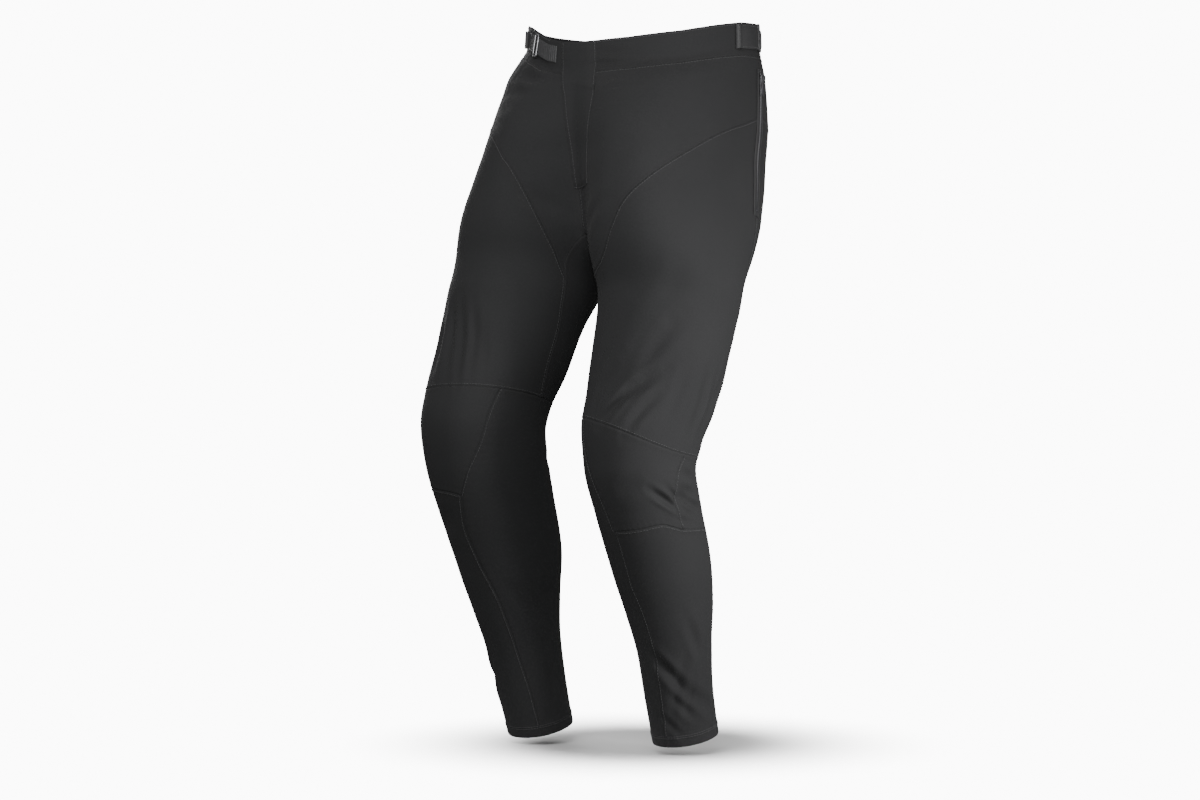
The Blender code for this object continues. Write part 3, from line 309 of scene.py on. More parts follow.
HIPS = SectionTable(HIP_SECTIONS)
LEGS = {side: SectionTable(rows) for side, rows in LEG_SECTIONS.items()}


@lru_cache(maxsize=256)
def section(side, drop):
    """The hips are one form; below the crotch each leg has its own."""
    share = smooth_step((drop - SPLIT_START) / (SPLIT_END - SPLIT_START))
    if share <= 0:
        return HIPS.at(drop)
    own = LEGS[side].at(drop)
    if share >= 1:
        return own
    return [a + (b - a) * share for a, b in zip(HIPS.at(drop), own)]


@lru_cache(maxsize=256)
def edge_angle(side, drop):
    """How far past front centre a ring runs before it meets the middle; 90 degrees once it is whole."""
    out, fore, tilt, outer, inner, front, back, square, bridge, hollow = section(side, drop)
    share = max(out - bridge, 0.0) / inner
    return 90.0 if share >= 1 else math.degrees(math.asin(share ** (square / 2)))


def bare_point(side, angle, drop):
    """A point of the form without its folds. Angle 0 is the front of the leg, 90 its outer side."""
    out, fore, tilt, outer, inner, front, back, square, bridge, hollow = section(side, drop)
    limit = edge_angle(side, drop)
    if limit < 90:
        angle = min(max(angle + 360 if angle < -90 else angle, -limit), 180 + limit)
    turn = math.radians(angle)
    sine, cosine = math.sin(turn), math.cos(turn)
    along = math.copysign(abs(sine) ** (2 / square), sine) * (outer if sine > 0 else inner)
    deep = -math.copysign(abs(cosine) ** (2 / square), cosine) * (front if cosine > 0 else back)
    x = max(out + along, bridge)
    x = math.sqrt(max(x * x - bridge * bridge, 0.0))
    if cosine > 0 and x < HOLLOW_REACH:
        deep += hollow * (1 + math.cos(math.pi * x / HOLLOW_REACH)) / 2
    lean = math.radians(tilt)
    fade = 1 - smooth_step((drop - LIFT_TOP) / (LIFT_END - LIFT_TOP))
    rise = broken_line(RISE[side], min(max(angle, 0), 180)) * fade
    return Vector((side * x, fore + deep * math.cos(lean), rise - drop - deep * math.sin(lean)))


def normal(side, angle, drop):
    """The form's outward direction at a place."""
    step_angle, step_drop = 0.7, 0.0015
    round_it = bare_point(side, angle + step_angle, drop) - bare_point(side, angle - step_angle, drop)
    down = bare_point(side, angle, drop + step_drop) - bare_point(side, angle, drop - step_drop)
    out = down.cross(round_it) * side
    if abs(bare_point(side, angle, drop).x) < 1e-6:
        out.x = 0.0
    return out.normalized()


def knee_top(side, angle):
    middle, swing, lowest = KNEE_TOP[side]
    return middle + swing * math.cos(math.radians(angle - lowest))


def on_knee_top(side, angle):
    return (angle, knee_top(side, angle))


def seam(places, count, ease=1.0):
    """Spreads count + 1 places evenly along a smooth run through the given ones."""
    if len(places) == 2:
        fine = [tuple(a + (b - a) * i / 40 for a, b in zip(*places)) for i in range(41)]
    else:
        stops = list(range(len(places)))
        columns = [list(column) for column in zip(*places)]
        ways = [slopes(stops, column) for column in columns]
        fine = []
        for i in range(len(places) - 1):
            for k in range(20):
                s = k / 20
                fine.append(tuple(
                    (2 * s**3 - 3 * s**2 + 1) * c[i] + (s**3 - 2 * s**2 + s) * m[i]
                    + (3 * s**2 - 2 * s**3) * c[i + 1] + (s**3 - s**2) * m[i + 1]
                    for c, m in zip(columns, ways)))
        fine.append(tuple(places[-1]))
    lengths = [0.0]
    for a, b in zip(fine, fine[1:]):
        lengths.append(lengths[-1] + math.hypot((b[0] - a[0]) * DEGREE_OF_ARC, b[1] - a[1]))
    found = []
    for i in range(count + 1):
        want = lengths[-1] * (i / count) ** ease
        k = 0
        while k < len(lengths) - 2 and lengths[k + 1] < want:
            k += 1
        share = (want - lengths[k]) / (lengths[k + 1] - lengths[k])
        found.append(tuple(a + (b - a) * share for a, b in zip(fine[k], fine[k + 1])))
    return found


def middle_front(side, start, end, count):
    drops = [start + (end - start) * i / count for i in range(count + 1)]
    return [(-edge_angle(side, drop), drop) for drop in drops]


def middle_back(side, start, end, count):
    drops = [start + (end - start) * i / count for i in range(count + 1)]
    return [(180 + edge_angle(side, drop), drop) for drop in drops]


def crotch_line(side, count):
    """The seam under the crotch, from the gusset's front tip to its back tip, as angle and drop."""
    whole = GUSSET_FRONT_TOP
    while edge_angle(side, whole) < 90:
        whole += 0.0002
    found = []
    for i in range(count + 1):
        share = 2 * i / count - 1
        tip = GUSSET_FRONT_TOP if share < 0 else GUSSET_BACK_TOP
        drop = whole + (tip - whole) * share * share
        angle = edge_angle(side, drop)
        found.append((-angle, drop) if share < 0 else (angle - 180, drop))
    return found


def shifted(places, turn):
    return [(angle + turn, drop) for angle, drop in places]


def patch(side, top, bottom, start, end):
    """Fills four seams with a grid of places: rows from top to bottom, columns from start to end."""
    columns, rows = len(top) - 1, len(start) - 1
    grid = []
    for r in range(rows + 1):
        down = r / rows
        row = []
        for c in range(columns + 1):
            across = c / columns
            place = []
            for k in (0, 1):
                along = (1 - down) * top[c][k] + down * bottom[c][k]
                sides = (1 - across) * start[r][k] + across * end[r][k]
                corners = ((1 - down) * ((1 - across) * top[0][k] + across * top[-1][k])
                           + down * ((1 - across) * bottom[0][k] + across * bottom[-1][k]))
                place.append(along + sides - corners)
            row.append((side, place[0], place[1]))
        grid.append(row)
    return grid


def pinned(side, places):
    """Moves the first place of a run onto the middle of the garment."""
    return [(-edge_angle(side, places[0][1]), places[0][1])] + places[1:]


def knee_run(side, *stops):
    """Places along the seam above the knee: an angle, then a count of columns and the next angle."""
    places = [on_knee_top(side, stops[0])]
    for count, end in zip(stops[1::2], stops[2::2]):
        start = places[-1][0]
        places += [on_knee_top(side, start + (end - start) * (i + 1) / count) for i in range(count)]
    return places


def back_tip(side):
    return (edge_angle(side, GUSSET_BACK_TOP) - 180, GUSSET_BACK_TOP)


def ending(side, places):
    """Ends a seam exactly on the seam above the knee."""
    return (*places[:-1], on_knee_top(side, places[-1][0]))


def starting(side, places):
    return (on_knee_top(side, places[0][0]), *places[1:])


def angle_at(side, drop, x):
    """The angle on the garment's front that lies so far from the middle."""
    low, high = -edge_angle(side, drop), 90.0
    for _ in range(40):
        middle = (low + high) / 2
        if abs(bare_point(side, middle, drop).x) < abs(x):
            low = middle
        else:
            high = middle
    return (low + high) / 2


def fly_place(drop, x):
    side = 1 if x >= 0 else -1
    return (side, angle_at(side, drop, x), drop)


def side_angle(side, drop):
    rows = [(d, a) for a, d in (*SIDE_UPPER, *SIDE_LOWER[side][1:])]
    return broken_line(rows, drop)


def arc_of_degree(side, angle, drop):
    """Metres of cloth in one degree round the form at a place."""
    return (bare_point(side, angle + 1, drop) - bare_point(side, angle - 1, drop)).length / 2


print("rings down the left leg:", len(LEG_SECTIONS[1]), "and down the right:", len(LEG_SECTIONS[-1]))

# %% [markdown]
# Cloth that is worn creases where it is drawn: diagonal drags run up the thigh from the knee, short folds
# bunch behind the knee and at its outer corner, and long soft ones fall down the shin. The solids hold the
# largest. Here every crease is a soft trough, pressed in along a line between two places, with a low
# ridge of pushed-up cloth beside it.

# %% Creases
CREASES = (
    # side, angle, drop, angle, drop, depth, width
    (1, -4, 0.510, 24, 0.465, 0.0046, 0.0055),
    (1, 14, 0.480, 48, 0.440, 0.0030, 0.0075),
    (1, 20, 0.463, 54, 0.368, 0.0036, 0.0100),
    (1, 24, 0.517, 52, 0.464, 0.0032, 0.0065),
    (1, 62, 0.505, 70, 0.420, 0.0018, 0.0080),
    (1, 94, 0.508, 92, 0.420, 0.0026, 0.0065),
    (1, 108, 0.497, 104, 0.425, 0.0032, 0.0058),
    (1, 111, 0.470, 122, 0.384, 0.0034, 0.0070),
    (1, -20, 0.492, 6, 0.430, 0.0020, 0.0070),
    (1, 34, 0.360, 58, 0.290, 0.0016, 0.0120),
    (1, 48, 0.572, 82, 0.604, 0.0050, 0.0048),
    (1, 78, 0.584, 122, 0.615, 0.0042, 0.0050),
    (1, 68, 0.570, 94, 0.618, 0.0030, 0.0042),
    (1, 104, 0.632, 74, 0.612, 0.0026, 0.0050),
    (1, 112, 0.570, 88, 0.556, 0.0026, 0.0060),
    (1, 8, 0.575, 48, 0.560, 0.0018, 0.0100),
    (1, -2, 0.782, 64, 0.850, 0.0048, 0.0090),
    (1, 50, 0.836, 118, 0.888, 0.0030, 0.0095),
    (1, 26, 0.846, 70, 0.880, 0.0026, 0.0070),
    (1, 60, 0.740, 88, 0.806, 0.0022, 0.0100),
    (1, -2, 0.866, 44, 0.905, 0.0018, 0.0060),
    (1, 2, 0.046, 18, 0.035, 0.0024, 0.0038),
    (1, 6, 0.054, 26, 0.050, 0.0020, 0.0040),
    (1, 6, 0.014, 24, 0.017, 0.0016, 0.0042),
    (1, 6, -0.002, 28, 0.003, 0.0012, 0.0048),
    (1, 170, 0.610, 230, 0.590, 0.0034, 0.0080),
    (1, 150, 0.575, 200, 0.585, 0.0030, 0.0070),
    (1, 150, 0.300, 200, 0.345, 0.0026, 0.0100),
    (1, 140, 0.800, 190, 0.830, 0.0024, 0.0100),
    (1, 210, 0.700, 170, 0.740, 0.0020, 0.0100),
    (-1, 26, 0.340, 0, 0.459, 0.0030, 0.0070),
    (-1, 10, 0.345, -13, 0.460, 0.0034, 0.0065),
    (-1, -5, 0.360, -26, 0.461, 0.0028, 0.0065),
    (-1, -14, 0.375, -38, 0.460, 0.0018, 0.0070),
    (-1, 44, 0.360, 22, 0.458, 0.0026, 0.0070),
    (-1, 62, 0.350, 56, 0.458, 0.0022, 0.0080),
    (-1, 84, 0.370, 90, 0.458, 0.0022, 0.0080),
    (-1, 10, 0.037, 36, 0.040, 0.0044, 0.0048),
    (-1, 14, 0.021, 40, 0.017, 0.0030, 0.0042),
    (-1, 8, 0.053, 42, 0.057, 0.0030, 0.0065),
    (-1, 12, 0.072, 36, 0.074, 0.0014, 0.0080),
    (-1, 100, 0.520, 70, 0.500, 0.0032, 0.0060),
    (-1, 104, 0.560, 72, 0.535, 0.0030, 0.0060),
    (-1, 0, 0.600, 36, 0.620, 0.0018, 0.0120),
    (-1, -36, 0.690, -70, 0.760, 0.0020, 0.0100),
    (-1, 10, 0.780, 50, 0.850, 0.0020, 0.0090),
    (-1, 30, 0.820, 80, 0.870, 0.0026, 0.0100),
    (-1, 170, 0.570, 230, 0.550, 0.0034, 0.0080),
    (-1, 150, 0.535, 200, 0.545, 0.0030, 0.0070),
    (-1, 150, 0.300, 200, 0.345, 0.0026, 0.0100),
    (-1, 140, 0.800, 190, 0.830, 0.0024, 0.0100),
    (1, -40, 0.262, -4, 0.226, 0.0022, 0.0080),
    (-1, -46, 0.232, -20, 0.200, 0.0020, 0.0080),
)
RIDGE_SHARE, RIDGE_AWAY, RIDGE_WIDE = 0.35, 1.9, 0.6
FOLD_REACH, CREASE_REACH = 3, 4
FOLD_TIP, CREASE_TIP = 0.08, 0.06
RUN_MARGIN = 0.05


def across_run(angle, drop, run):
    """Where a place lies beside a fold: the share along it, and how many widths away from it."""
    of_side, angle_a, drop_a, angle_b, drop_b, deep, width = run
    nearer = angle + 360 * round(((angle_a + angle_b) / 2 - angle) / 360)
    long = ((angle_b - angle_a) * DEGREE_OF_ARC, drop_b - drop_a)
    here = ((nearer - angle_a) * DEGREE_OF_ARC, drop - drop_a)
    along = (here[0] * long[0] + here[1] * long[1]) / (long[0] ** 2 + long[1] ** 2)
    along = min(max(along, 0.0), 1.0)
    return along, math.hypot(here[0] - long[0] * along, here[1] - long[1] * along) / width


def runs_near(runs, reach, side, angle, drop):
    """Depth, share along and widths away of each fold that reaches a place."""
    for run in runs:
        if run[0] == side and min(run[2], run[4]) - RUN_MARGIN < drop < max(run[2], run[4]) + RUN_MARGIN:
            along, away = across_run(angle, drop, run)
            if away < reach:
                yield run[5], along, away


def pressed(side, angle, drop):
    """How deep all folds and creases press the cloth in at a place; below zero on the ridges beside them."""
    depth = 0.0
    for deep, along, away in runs_near(FOLDS, FOLD_REACH, side, angle, drop):
        depth += deep * math.exp(-away * away) * math.sin(math.pi * min(max(along, FOLD_TIP), 1 - FOLD_TIP))
    for deep, along, away in runs_near(CREASES, CREASE_REACH, side, angle, drop):
        shape = math.exp(-away * away) - RIDGE_SHARE * math.exp(-((away - RIDGE_AWAY) ** 2) / RIDGE_WIDE)
        depth += deep * shape * math.sin(math.pi * min(max(along, CREASE_TIP), 1 - CREASE_TIP))
    return depth


def cloth(side, angle, drop):
    """A point of the cloth's outer face, creases included, and its outward direction."""
    away = normal(side, angle, drop)
    return bare_point(side, angle, drop) - away * pressed(side, angle, drop), away


print("creases:", len(FOLDS), "large and", len(CREASES), "small")

# %% [markdown]
# A panel is laid between its four seams, and its edge shows how it was sewn. At a seam the cloth rolls in,
# the folded allowance behind it lifts a narrow band, and the thread draws the edge into small puckers. At a
# hem the cloth is turned up double. Lines of points are set close to the edges and about 3 mm apart between
# them, so that the roll is round and the middle stays light.

# %% How a panel ends at its edges
SPACING = 0.0031
EDGE_LINES = (0.0, 0.0007, 0.0018)
SEAM_ROLL, SEAM_ROLL_WIDE = 0.0007, 0.0011
ALLOWANCE_HIGH, ALLOWANCE_WIDE = 0.00035, 0.0065
PUCKER_HIGH, PUCKER_LONG, PUCKER_WIDE = 0.00022, 0.0105, 0.0075
HEM_WIDE, HEM_HIGH = 0.0165, 0.00055
SHELL = 0.0012


def seam_edge(away, along):
    lift = -SEAM_ROLL * math.exp(-((away / SEAM_ROLL_WIDE) ** 2))
    lift += ALLOWANCE_HIGH * (1 - smooth_step((away - ALLOWANCE_WIDE * 0.7) / (ALLOWANCE_WIDE * 0.3)))
    wave = math.sin(2 * math.pi * along / PUCKER_LONG + 1.7 * math.sin(along / 0.031))
    return lift + PUCKER_HIGH * wave * math.exp(-away / PUCKER_WIDE)


def hem_edge(away, along):
    lift = -SEAM_ROLL * 0.6 * math.exp(-((away / SEAM_ROLL_WIDE) ** 2))
    lift += HEM_HIGH * (1 - smooth_step((away - HEM_WIDE) / 0.0015))
    wave = math.sin(2 * math.pi * along / 0.017 + 1.3 * math.sin(along / 0.041))
    return lift + 0.5 * PUCKER_HIGH * wave * math.exp(-abs(away - HEM_WIDE) / PUCKER_WIDE)


def no_edge(away, along):
    return 0.0


# %% Sew a panel as a thin shell
def on_side(place):
    """A place given with side 0 runs on round the back, past 180 degrees, onto the other leg."""
    side, angle, drop = place
    if side:
        return place
    return (1, angle, drop) if angle <= 180 else (-1, 360 - angle, drop)


def between(grid, down, across):
    """The place a share of the way down and across a grid of places."""
    r, c = down * (len(grid) - 1), across * (len(grid[0]) - 1)
    i, j = min(int(r), len(grid) - 2), min(int(c), len(grid[0]) - 2)
    r, c = r - i, c - j
    mixed = [(1 - r) * ((1 - c) * grid[i][j][k] + c * grid[i][j + 1][k])
             + r * ((1 - c) * grid[i + 1][j][k] + c * grid[i + 1][j + 1][k]) for k in (1, 2)]
    return (grid[0][0][0], *mixed)


def length_of(places):
    points = [bare_point(*on_side(place)) for place in places]
    return sum((b - a).length for a, b in zip(points, points[1:]))


def lines(long):
    """Shares of a length at which a panel gets its lines of points."""
    count = max(2, round(long / SPACING))
    last = EDGE_LINES[-1] * 1.6
    middle = [long * i / count for i in range(1, count) if last < long * i / count < long - last]
    return [at / long for at in (*EDGE_LINES, *middle, *(long - at for at in reversed(EDGE_LINES)))]


def new_piece(name, points, faces):
    """An object at the origin whose faces all look outward."""
    mesh = bpy.data.meshes.new(name)
    mesh.from_pydata([tuple(at) for at in points], [], faces)
    body = bmesh.new()
    body.from_mesh(mesh)
    bmesh.ops.recalc_face_normals(body, faces=body.faces)
    body.to_mesh(mesh)
    body.free()
    made = bpy.data.objects.new(name, mesh)
    bpy.context.scene.collection.objects.link(made)
    return made


def on_garment(made, finish):
    made.data.materials.append(finish)
    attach(made, "garment")
    return made


def closed_shell(name, outer, inner, flat):
    """A closed body between two grids of points, with a UV map in metres."""
    rows, columns = len(outer), len(outer[0])
    points = [at for grid in (outer, inner) for row in grid for at in row]
    faces = []
    back = rows * columns
    for r in range(rows - 1):
        for c in range(columns - 1):
            a = r * columns + c
            faces.append((a, a + 1, a + 1 + columns, a + columns))
            faces.append((back + a, back + a + columns, back + a + 1 + columns, back + a + 1))
    border = [(0, c) for c in range(columns - 1)] + [(r, columns - 1) for r in range(rows - 1)]
    border += [(rows - 1, columns - 1 - c) for c in range(columns - 1)]
    border += [(rows - 1 - r, 0) for r in range(rows - 1)]
    ring = [r * columns + c for r, c in border]
    for a, b in zip(ring, ring[1:] + ring[:1]):
        faces.append((b, a, back + a, back + b))
    made = new_piece(name, points, faces)
    mesh = made.data
    places = mesh.uv_layers.new(name="cloth")
    for loop in mesh.loops:
        places.data[loop.index].uv = flat[loop.vertex_index % back]
    mesh.shade_smooth()
    mesh.set_sharp_from_angle(angle=math.radians(60))
    return made


def sew(name, grid, finish, edges=(seam_edge,) * 4, out=0.0, thick=SHELL, sheet=True):
    """Makes a panel's shell. edges: what its top, bottom, start and end are. Its UV map is in metres at its
    worn size.
    """
    tall = sum(length_of([row[c] for row in grid]) for c in (0, len(grid[0]) // 2, -1)) / 3
    wide = sum(length_of(grid[r]) for r in (0, len(grid) // 2, -1)) / 3
    downs, acrosses = lines(tall), lines(wide)
    outer, inner, flat = [], [], []
    for down in downs:
        outer.append([])
        inner.append([])
        for across in acrosses:
            side, angle, drop = on_side(between(grid, down, across))
            at, away = cloth(side, angle, drop)
            at = at + away * out
            u, v = across * wide, down * tall
            lift = (edges[0](v, u) + edges[1](tall - v, u) + edges[2](u, v) + edges[3](wide - u, v))
            outer[-1].append(at + away * lift)
            inner[-1].append(at - away * thick)
            flat.append((u, v))
    made = on_garment(closed_shell(name, outer, inner, flat), finish)
    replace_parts(made, name.removeprefix("sewn_"))
    if sheet:
        area = sum(f.area for f in made.data.polygons[:2 * (len(downs) - 1) * (len(acrosses) - 1)]) / 2
        wide = max(wide, area / tall)
        min(area, wide * tall)
    return made


# %% [markdown]
# A finish is worked out in the shader. One small class wraps a socket, so that sums on it can be written as
# plain Python, and one method makes any other node. What is the same all over a surface is set on the
# shader's own sockets.

# %% Finishes written as sums
class Value:
    """An output socket of a finish's nodes, with the sums that are used on it."""

    def __init__(self, finish, socket):
        self.finish, self.socket = finish, socket

    def sum(self, operation, first, second):
        return self.finish.node("ShaderNodeMath", {"operation": operation}, {0: first, 1: second})

    def __add__(self, other):
        return self.sum("ADD", self, other)

    def __sub__(self, other):
        return self.sum("SUBTRACT", self, other)

    def __rsub__(self, other):
        return self.sum("SUBTRACT", other, self)

    def __mul__(self, other):
        return self.sum("MULTIPLY", self, other)

    __radd__, __rmul__ = __add__, __mul__


class Finish:
    """A material with one Principled shader; plain values go straight onto its sockets."""

    def __init__(self, name, **plain):
        self.material = bpy.data.materials.new(name)
        self.material.use_nodes = True
        self.tree = self.material.node_tree
        self.shader = self.tree.nodes["Principled BSDF"]
        for socket, value in plain.items():
            self.shader.inputs[socket.replace("_", " ")].default_value = value

    def node(self, kind, settings, inputs, output=0):
        made = self.tree.nodes.new(kind)
        for name, value in settings.items():
            setattr(made, name, value)
        for name, value in inputs.items():
            self.feed(made.inputs[name], value)
        return Value(self, made.outputs[output])

    def feed(self, socket, value):
        if isinstance(value, Value):
            self.tree.links.new(value.socket, socket)
        else:
            socket.default_value = value

    def sine(self, value, pitch):
        return self.node("ShaderNodeMath", {"operation": "SINE"}, {0: value * (2 * math.pi / pitch)})

    def noise(self, where, scale, detail=3.0):
        return self.node("ShaderNodeTexNoise", {}, {"Vector": where, "Scale": scale, "Detail": detail})

    def colours(self, share, low, high):
        return self.node("ShaderNodeMix", {"data_type": "RGBA"}, {0: share, 6: (*low, 1), 7: (*high, 1)}, 2)

    def show(self, colour=None, roughness=None, height=None, distance=0.0002, strength=0.5):
        if colour:
            self.feed(self.shader.inputs["Base Color"], colour)
        if roughness:
            self.feed(self.shader.inputs["Roughness"], roughness)
        if height:
            inputs = {"Height": height, "Distance": distance, "Strength": strength}
            bump = self.node("ShaderNodeBump", {}, inputs)
            self.feed(self.shader.inputs["Normal"], bump)
        return self.material


# %% [markdown]
# The panels are a matt black stretch weave. Seen close it is a fine diagonal rib, which at arm's length is
# only a slight grain, a touch lighter where the yarns catch the light. Broad faint patches keep it from
# looking like paint. The thread is a shade of grey lighter, which is why every seam shows.

# %% Black stretch weave and its thread
WEAVE_PITCH = 0.0011


def stretch_weave(name, dark, light, roughness):
    made = Finish(name, Metallic=0.0, Sheen_Weight=0.02, Sheen_Roughness=0.5)
    made.shader.inputs["Specular IOR Level"].default_value = 0.16
    where = made.node("ShaderNodeUVMap", {"uv_map": "cloth"}, {})
    apart = made.node("ShaderNodeSeparateXYZ", {}, {0: where})
    u, v = apart, Value(made, apart.socket.node.outputs[1])
    rib = made.sine(u + v, WEAVE_PITCH) * 0.5 + 0.5
    yarn = made.sine(u - v, WEAVE_PITCH * 0.55) * 0.5 + 0.5
    solid = made.node("ShaderNodeTexCoord", {}, {}, 3)
    grain = made.noise(solid, 1400.0, 2.0)
    patch_share = made.noise(solid, 9.0, 3.0)
    share = rib * 0.25 + grain * 0.45 + patch_share * 0.30
    rough = share * 0.10 + (roughness - 0.05)
    height = rib * 0.5 + yarn * 0.2 + grain * 0.6
    return made.show(made.colours(share, dark, light), rough, height, 0.00025, 0.35)


def thread_finish(name, colour, roughness):
    made = Finish(name, Metallic=0.0)
    solid = made.node("ShaderNodeTexCoord", {}, {}, 3)
    twist = made.noise(solid, 2600.0, 1.0)
    low, high = ([part * gain for part in colour] for gain in (0.75, 1.25))
    return made.show(made.colours(twist, low, high), twist * 0.2 + roughness, twist, 0.0001, 0.4)


CLOTH = stretch_weave("black_stretch_weave", (0.011, 0.011, 0.0115), (0.031, 0.031, 0.032), 0.82)
BAND = stretch_weave("black_waistband_weave", (0.011, 0.011, 0.0115), (0.028, 0.028, 0.029), 0.80)
THREAD = thread_finish("grey_thread", (0.056, 0.056, 0.058), 0.60)


# %% Straps, tape and metal
def ribbed_webbing(name, dark, light):
    made = Finish(name, Metallic=0.0)
    where = made.node("ShaderNodeUVMap", {"uv_map": "cloth"}, {})
    apart = made.node("ShaderNodeSeparateXYZ", {}, {0: where})
    cord = made.sine(Value(made, apart.socket.node.outputs[1]), 0.0016) * 0.5 + 0.5
    weft = made.sine(apart, 0.0009) * 0.5 + 0.5
    grain = made.noise(made.node("ShaderNodeTexCoord", {}, {}, 3), 1500.0, 2.0)
    share = cord * 0.4 + weft * 0.2 + grain * 0.4
    return made.show(made.colours(share, dark, light), grain * 0.15 + 0.50, cord + weft * 0.5, 0.0002, 0.6)


def dark_metal(name, colour, roughness):
    made = Finish(name, Metallic=0.85)
    solid = made.node("ShaderNodeTexCoord", {}, {}, 3)
    worn = made.noise(solid, 220.0, 4.0)
    low, high = ([part * gain for part in colour] for gain in (0.7, 1.5))
    return made.show(made.colours(worn, low, high), worn * 0.25 + roughness, worn, 0.00005, 0.3)


WEBBING = ribbed_webbing("black_webbing", (0.012, 0.012, 0.013), (0.030, 0.030, 0.031))
LADDER = ribbed_webbing("black_ladder_strap", (0.016, 0.016, 0.017), (0.042, 0.042, 0.044))
TAPE = ribbed_webbing("black_zip_tape", (0.009, 0.009, 0.010), (0.022, 0.022, 0.023))
TEETH = dark_metal("dark_zip_teeth", (0.10, 0.10, 0.105), 0.30)
WIRE = dark_metal("dark_wire", (0.16, 0.16, 0.165), 0.22)
PULL = dark_metal("dark_zip_pull", (0.09, 0.09, 0.095), 0.30)

# %% [markdown]
# Now the panels themselves. Each lies between four seams, given as runs of places on the form: its top and
# bottom from start to end, and its two sides from top to bottom. The seams are those of the solids, drawn
# with more places, so a shell and its solid meet their neighbours along the same curve.

# %% Sew the waistband
FINE = 5


def rim_edge(away, along):
    return -SEAM_ROLL * 0.8 * math.exp(-((away / 0.0013) ** 2))


for side, name in ((1, "left"), (-1, "right")):
    top, bottom = (seam(((0, drop), (SIDE_ANGLE, drop)), FRONT_COLUMNS * FINE) for drop in (RIM, WAIST_SEAM))
    middle = middle_front(side, RIM, WAIST_SEAM, 4)
    end = seam(((SIDE_ANGLE, RIM), (SIDE_ANGLE, WAIST_SEAM)), 4)
    sew(f"sewn_waistband_front_{name}", patch(side, pinned(side, top), pinned(side, bottom), middle, end),
        BAND, edges=(rim_edge, seam_edge, no_edge, seam_edge))

turns = [SIDE_ANGLE + (360 - 2 * SIDE_ANGLE) * c / 60 for c in range(61)]
sew("sewn_waistband_back", [[(0, turn, drop) for turn in turns] for drop in (RIM, 0.004, WAIST_SEAM)],
    BAND, edges=(rim_edge, seam_edge, seam_edge, seam_edge))


# %% Sew the hips and thighs
def sew_hips(side, name):
    scoop = seam(SCOOP[side], FRONT_COLUMNS * FINE, SCOOP_EASE)
    waist = seam(((0, WAIST_SEAM), (SIDE_ANGLE, WAIST_SEAM)), FRONT_COLUMNS * FINE, SCOOP_EASE)
    middle = middle_front(side, WAIST_SEAM, GUSSET_FRONT_TOP, MIDDLE_ROWS * FINE)
    gusset = seam((middle[-1], *GUSSET_FRONT[side]), GUSSET_ROWS * FINE)
    side_seam = seam(SIDE_UPPER, (MIDDLE_ROWS + GUSSET_ROWS) * FINE)
    middle += gusset[1:]
    sew(f"sewn_hip_front_{name}", patch(side, pinned(side, waist), scoop, middle, side_seam), CLOTH)

    knee = knee_run(side, INSEAM_FRONT[side][-1][0], KNEE_INNER_COLUMNS * FINE, KNEE_INNER[side][0][0],
                    KNEE_COLUMNS * FINE, KNEE_OUTER[side][0][0], KNEE_SIDE_COLUMNS * FINE, BACK_SIDE_ANGLE)
    inseam = seam(ending(side, INSEAM_FRONT[side]), THIGH_ROWS * FINE)
    outseam = seam(ending(side, SIDE_LOWER[side]), THIGH_ROWS * FINE)
    sew(f"sewn_thigh_front_{name}", patch(side, scoop, knee, inseam, outseam), CLOTH)

    waist_back = seam(((SIDE_ANGLE, WAIST_SEAM), (180 + edge_angle(side, WAIST_SEAM), WAIST_SEAM)),
                      BACK_COLUMNS * FINE)
    yoke = (SIDE_UPPER[-1], (180 + edge_angle(side, YOKE_BACK_DROP), YOKE_BACK_DROP))
    yoke = seam(yoke, BACK_COLUMNS * FINE)
    centre = middle_back(side, WAIST_SEAM, YOKE_BACK_DROP, YOKE_ROWS * FINE)
    side_seam = seam(SIDE_UPPER, YOKE_ROWS * FINE)
    sew(f"sewn_back_yoke_{name}", patch(side, waist_back, yoke, side_seam, centre), CLOTH)

    seat_middle = middle_back(side, YOKE_BACK_DROP, GUSSET_BACK_TOP, SEAT_ROWS * FINE)
    behind = seam((back_tip(side), *GUSSET_BACK[side]), GUSSET_ROWS * FINE)
    behind += seam(ending(side, INSEAM_BACK[side]), INSEAM_ROWS * FINE)[1:]
    inner = seat_middle + shifted(behind, 360)[1:]
    knee_back = knee_run(side, BACK_SIDE_ANGLE, CALF_COLUMNS * FINE, 360 + CALF_INNER[side][0][0],
                         KNEE_INNER_COLUMNS * FINE, 360 + INSEAM_BACK[side][-1][0])
    outer = seam(ending(side, SIDE_LOWER[side]), len(inner) - 1)
    sew(f"sewn_seat_back_{name}", patch(side, yoke, knee_back, outer, inner), CLOTH)


def sew_inner_thigh(side, name):
    crotch = crotch_line(side, INNER_COLUMNS * FINE)
    front = seam((crotch[0], *GUSSET_FRONT[side]), GUSSET_ROWS * FINE)
    front += seam(ending(side, INSEAM_FRONT[side]), INSEAM_ROWS * FINE)[1:]
    back = seam((crotch[-1], *GUSSET_BACK[side]), GUSSET_ROWS * FINE)
    back += seam(ending(side, INSEAM_BACK[side]), INSEAM_ROWS * FINE)[1:]
    knee = knee_run(side, front[-1][0], INNER_COLUMNS * FINE, back[-1][0])
    sew(f"sewn_inner_thigh_{name}", patch(side, crotch, knee, front, back), CLOTH)


for side, name in ((1, "left"), (-1, "right")):
    sew_hips(side, name)
    sew_inner_thigh(side, name)


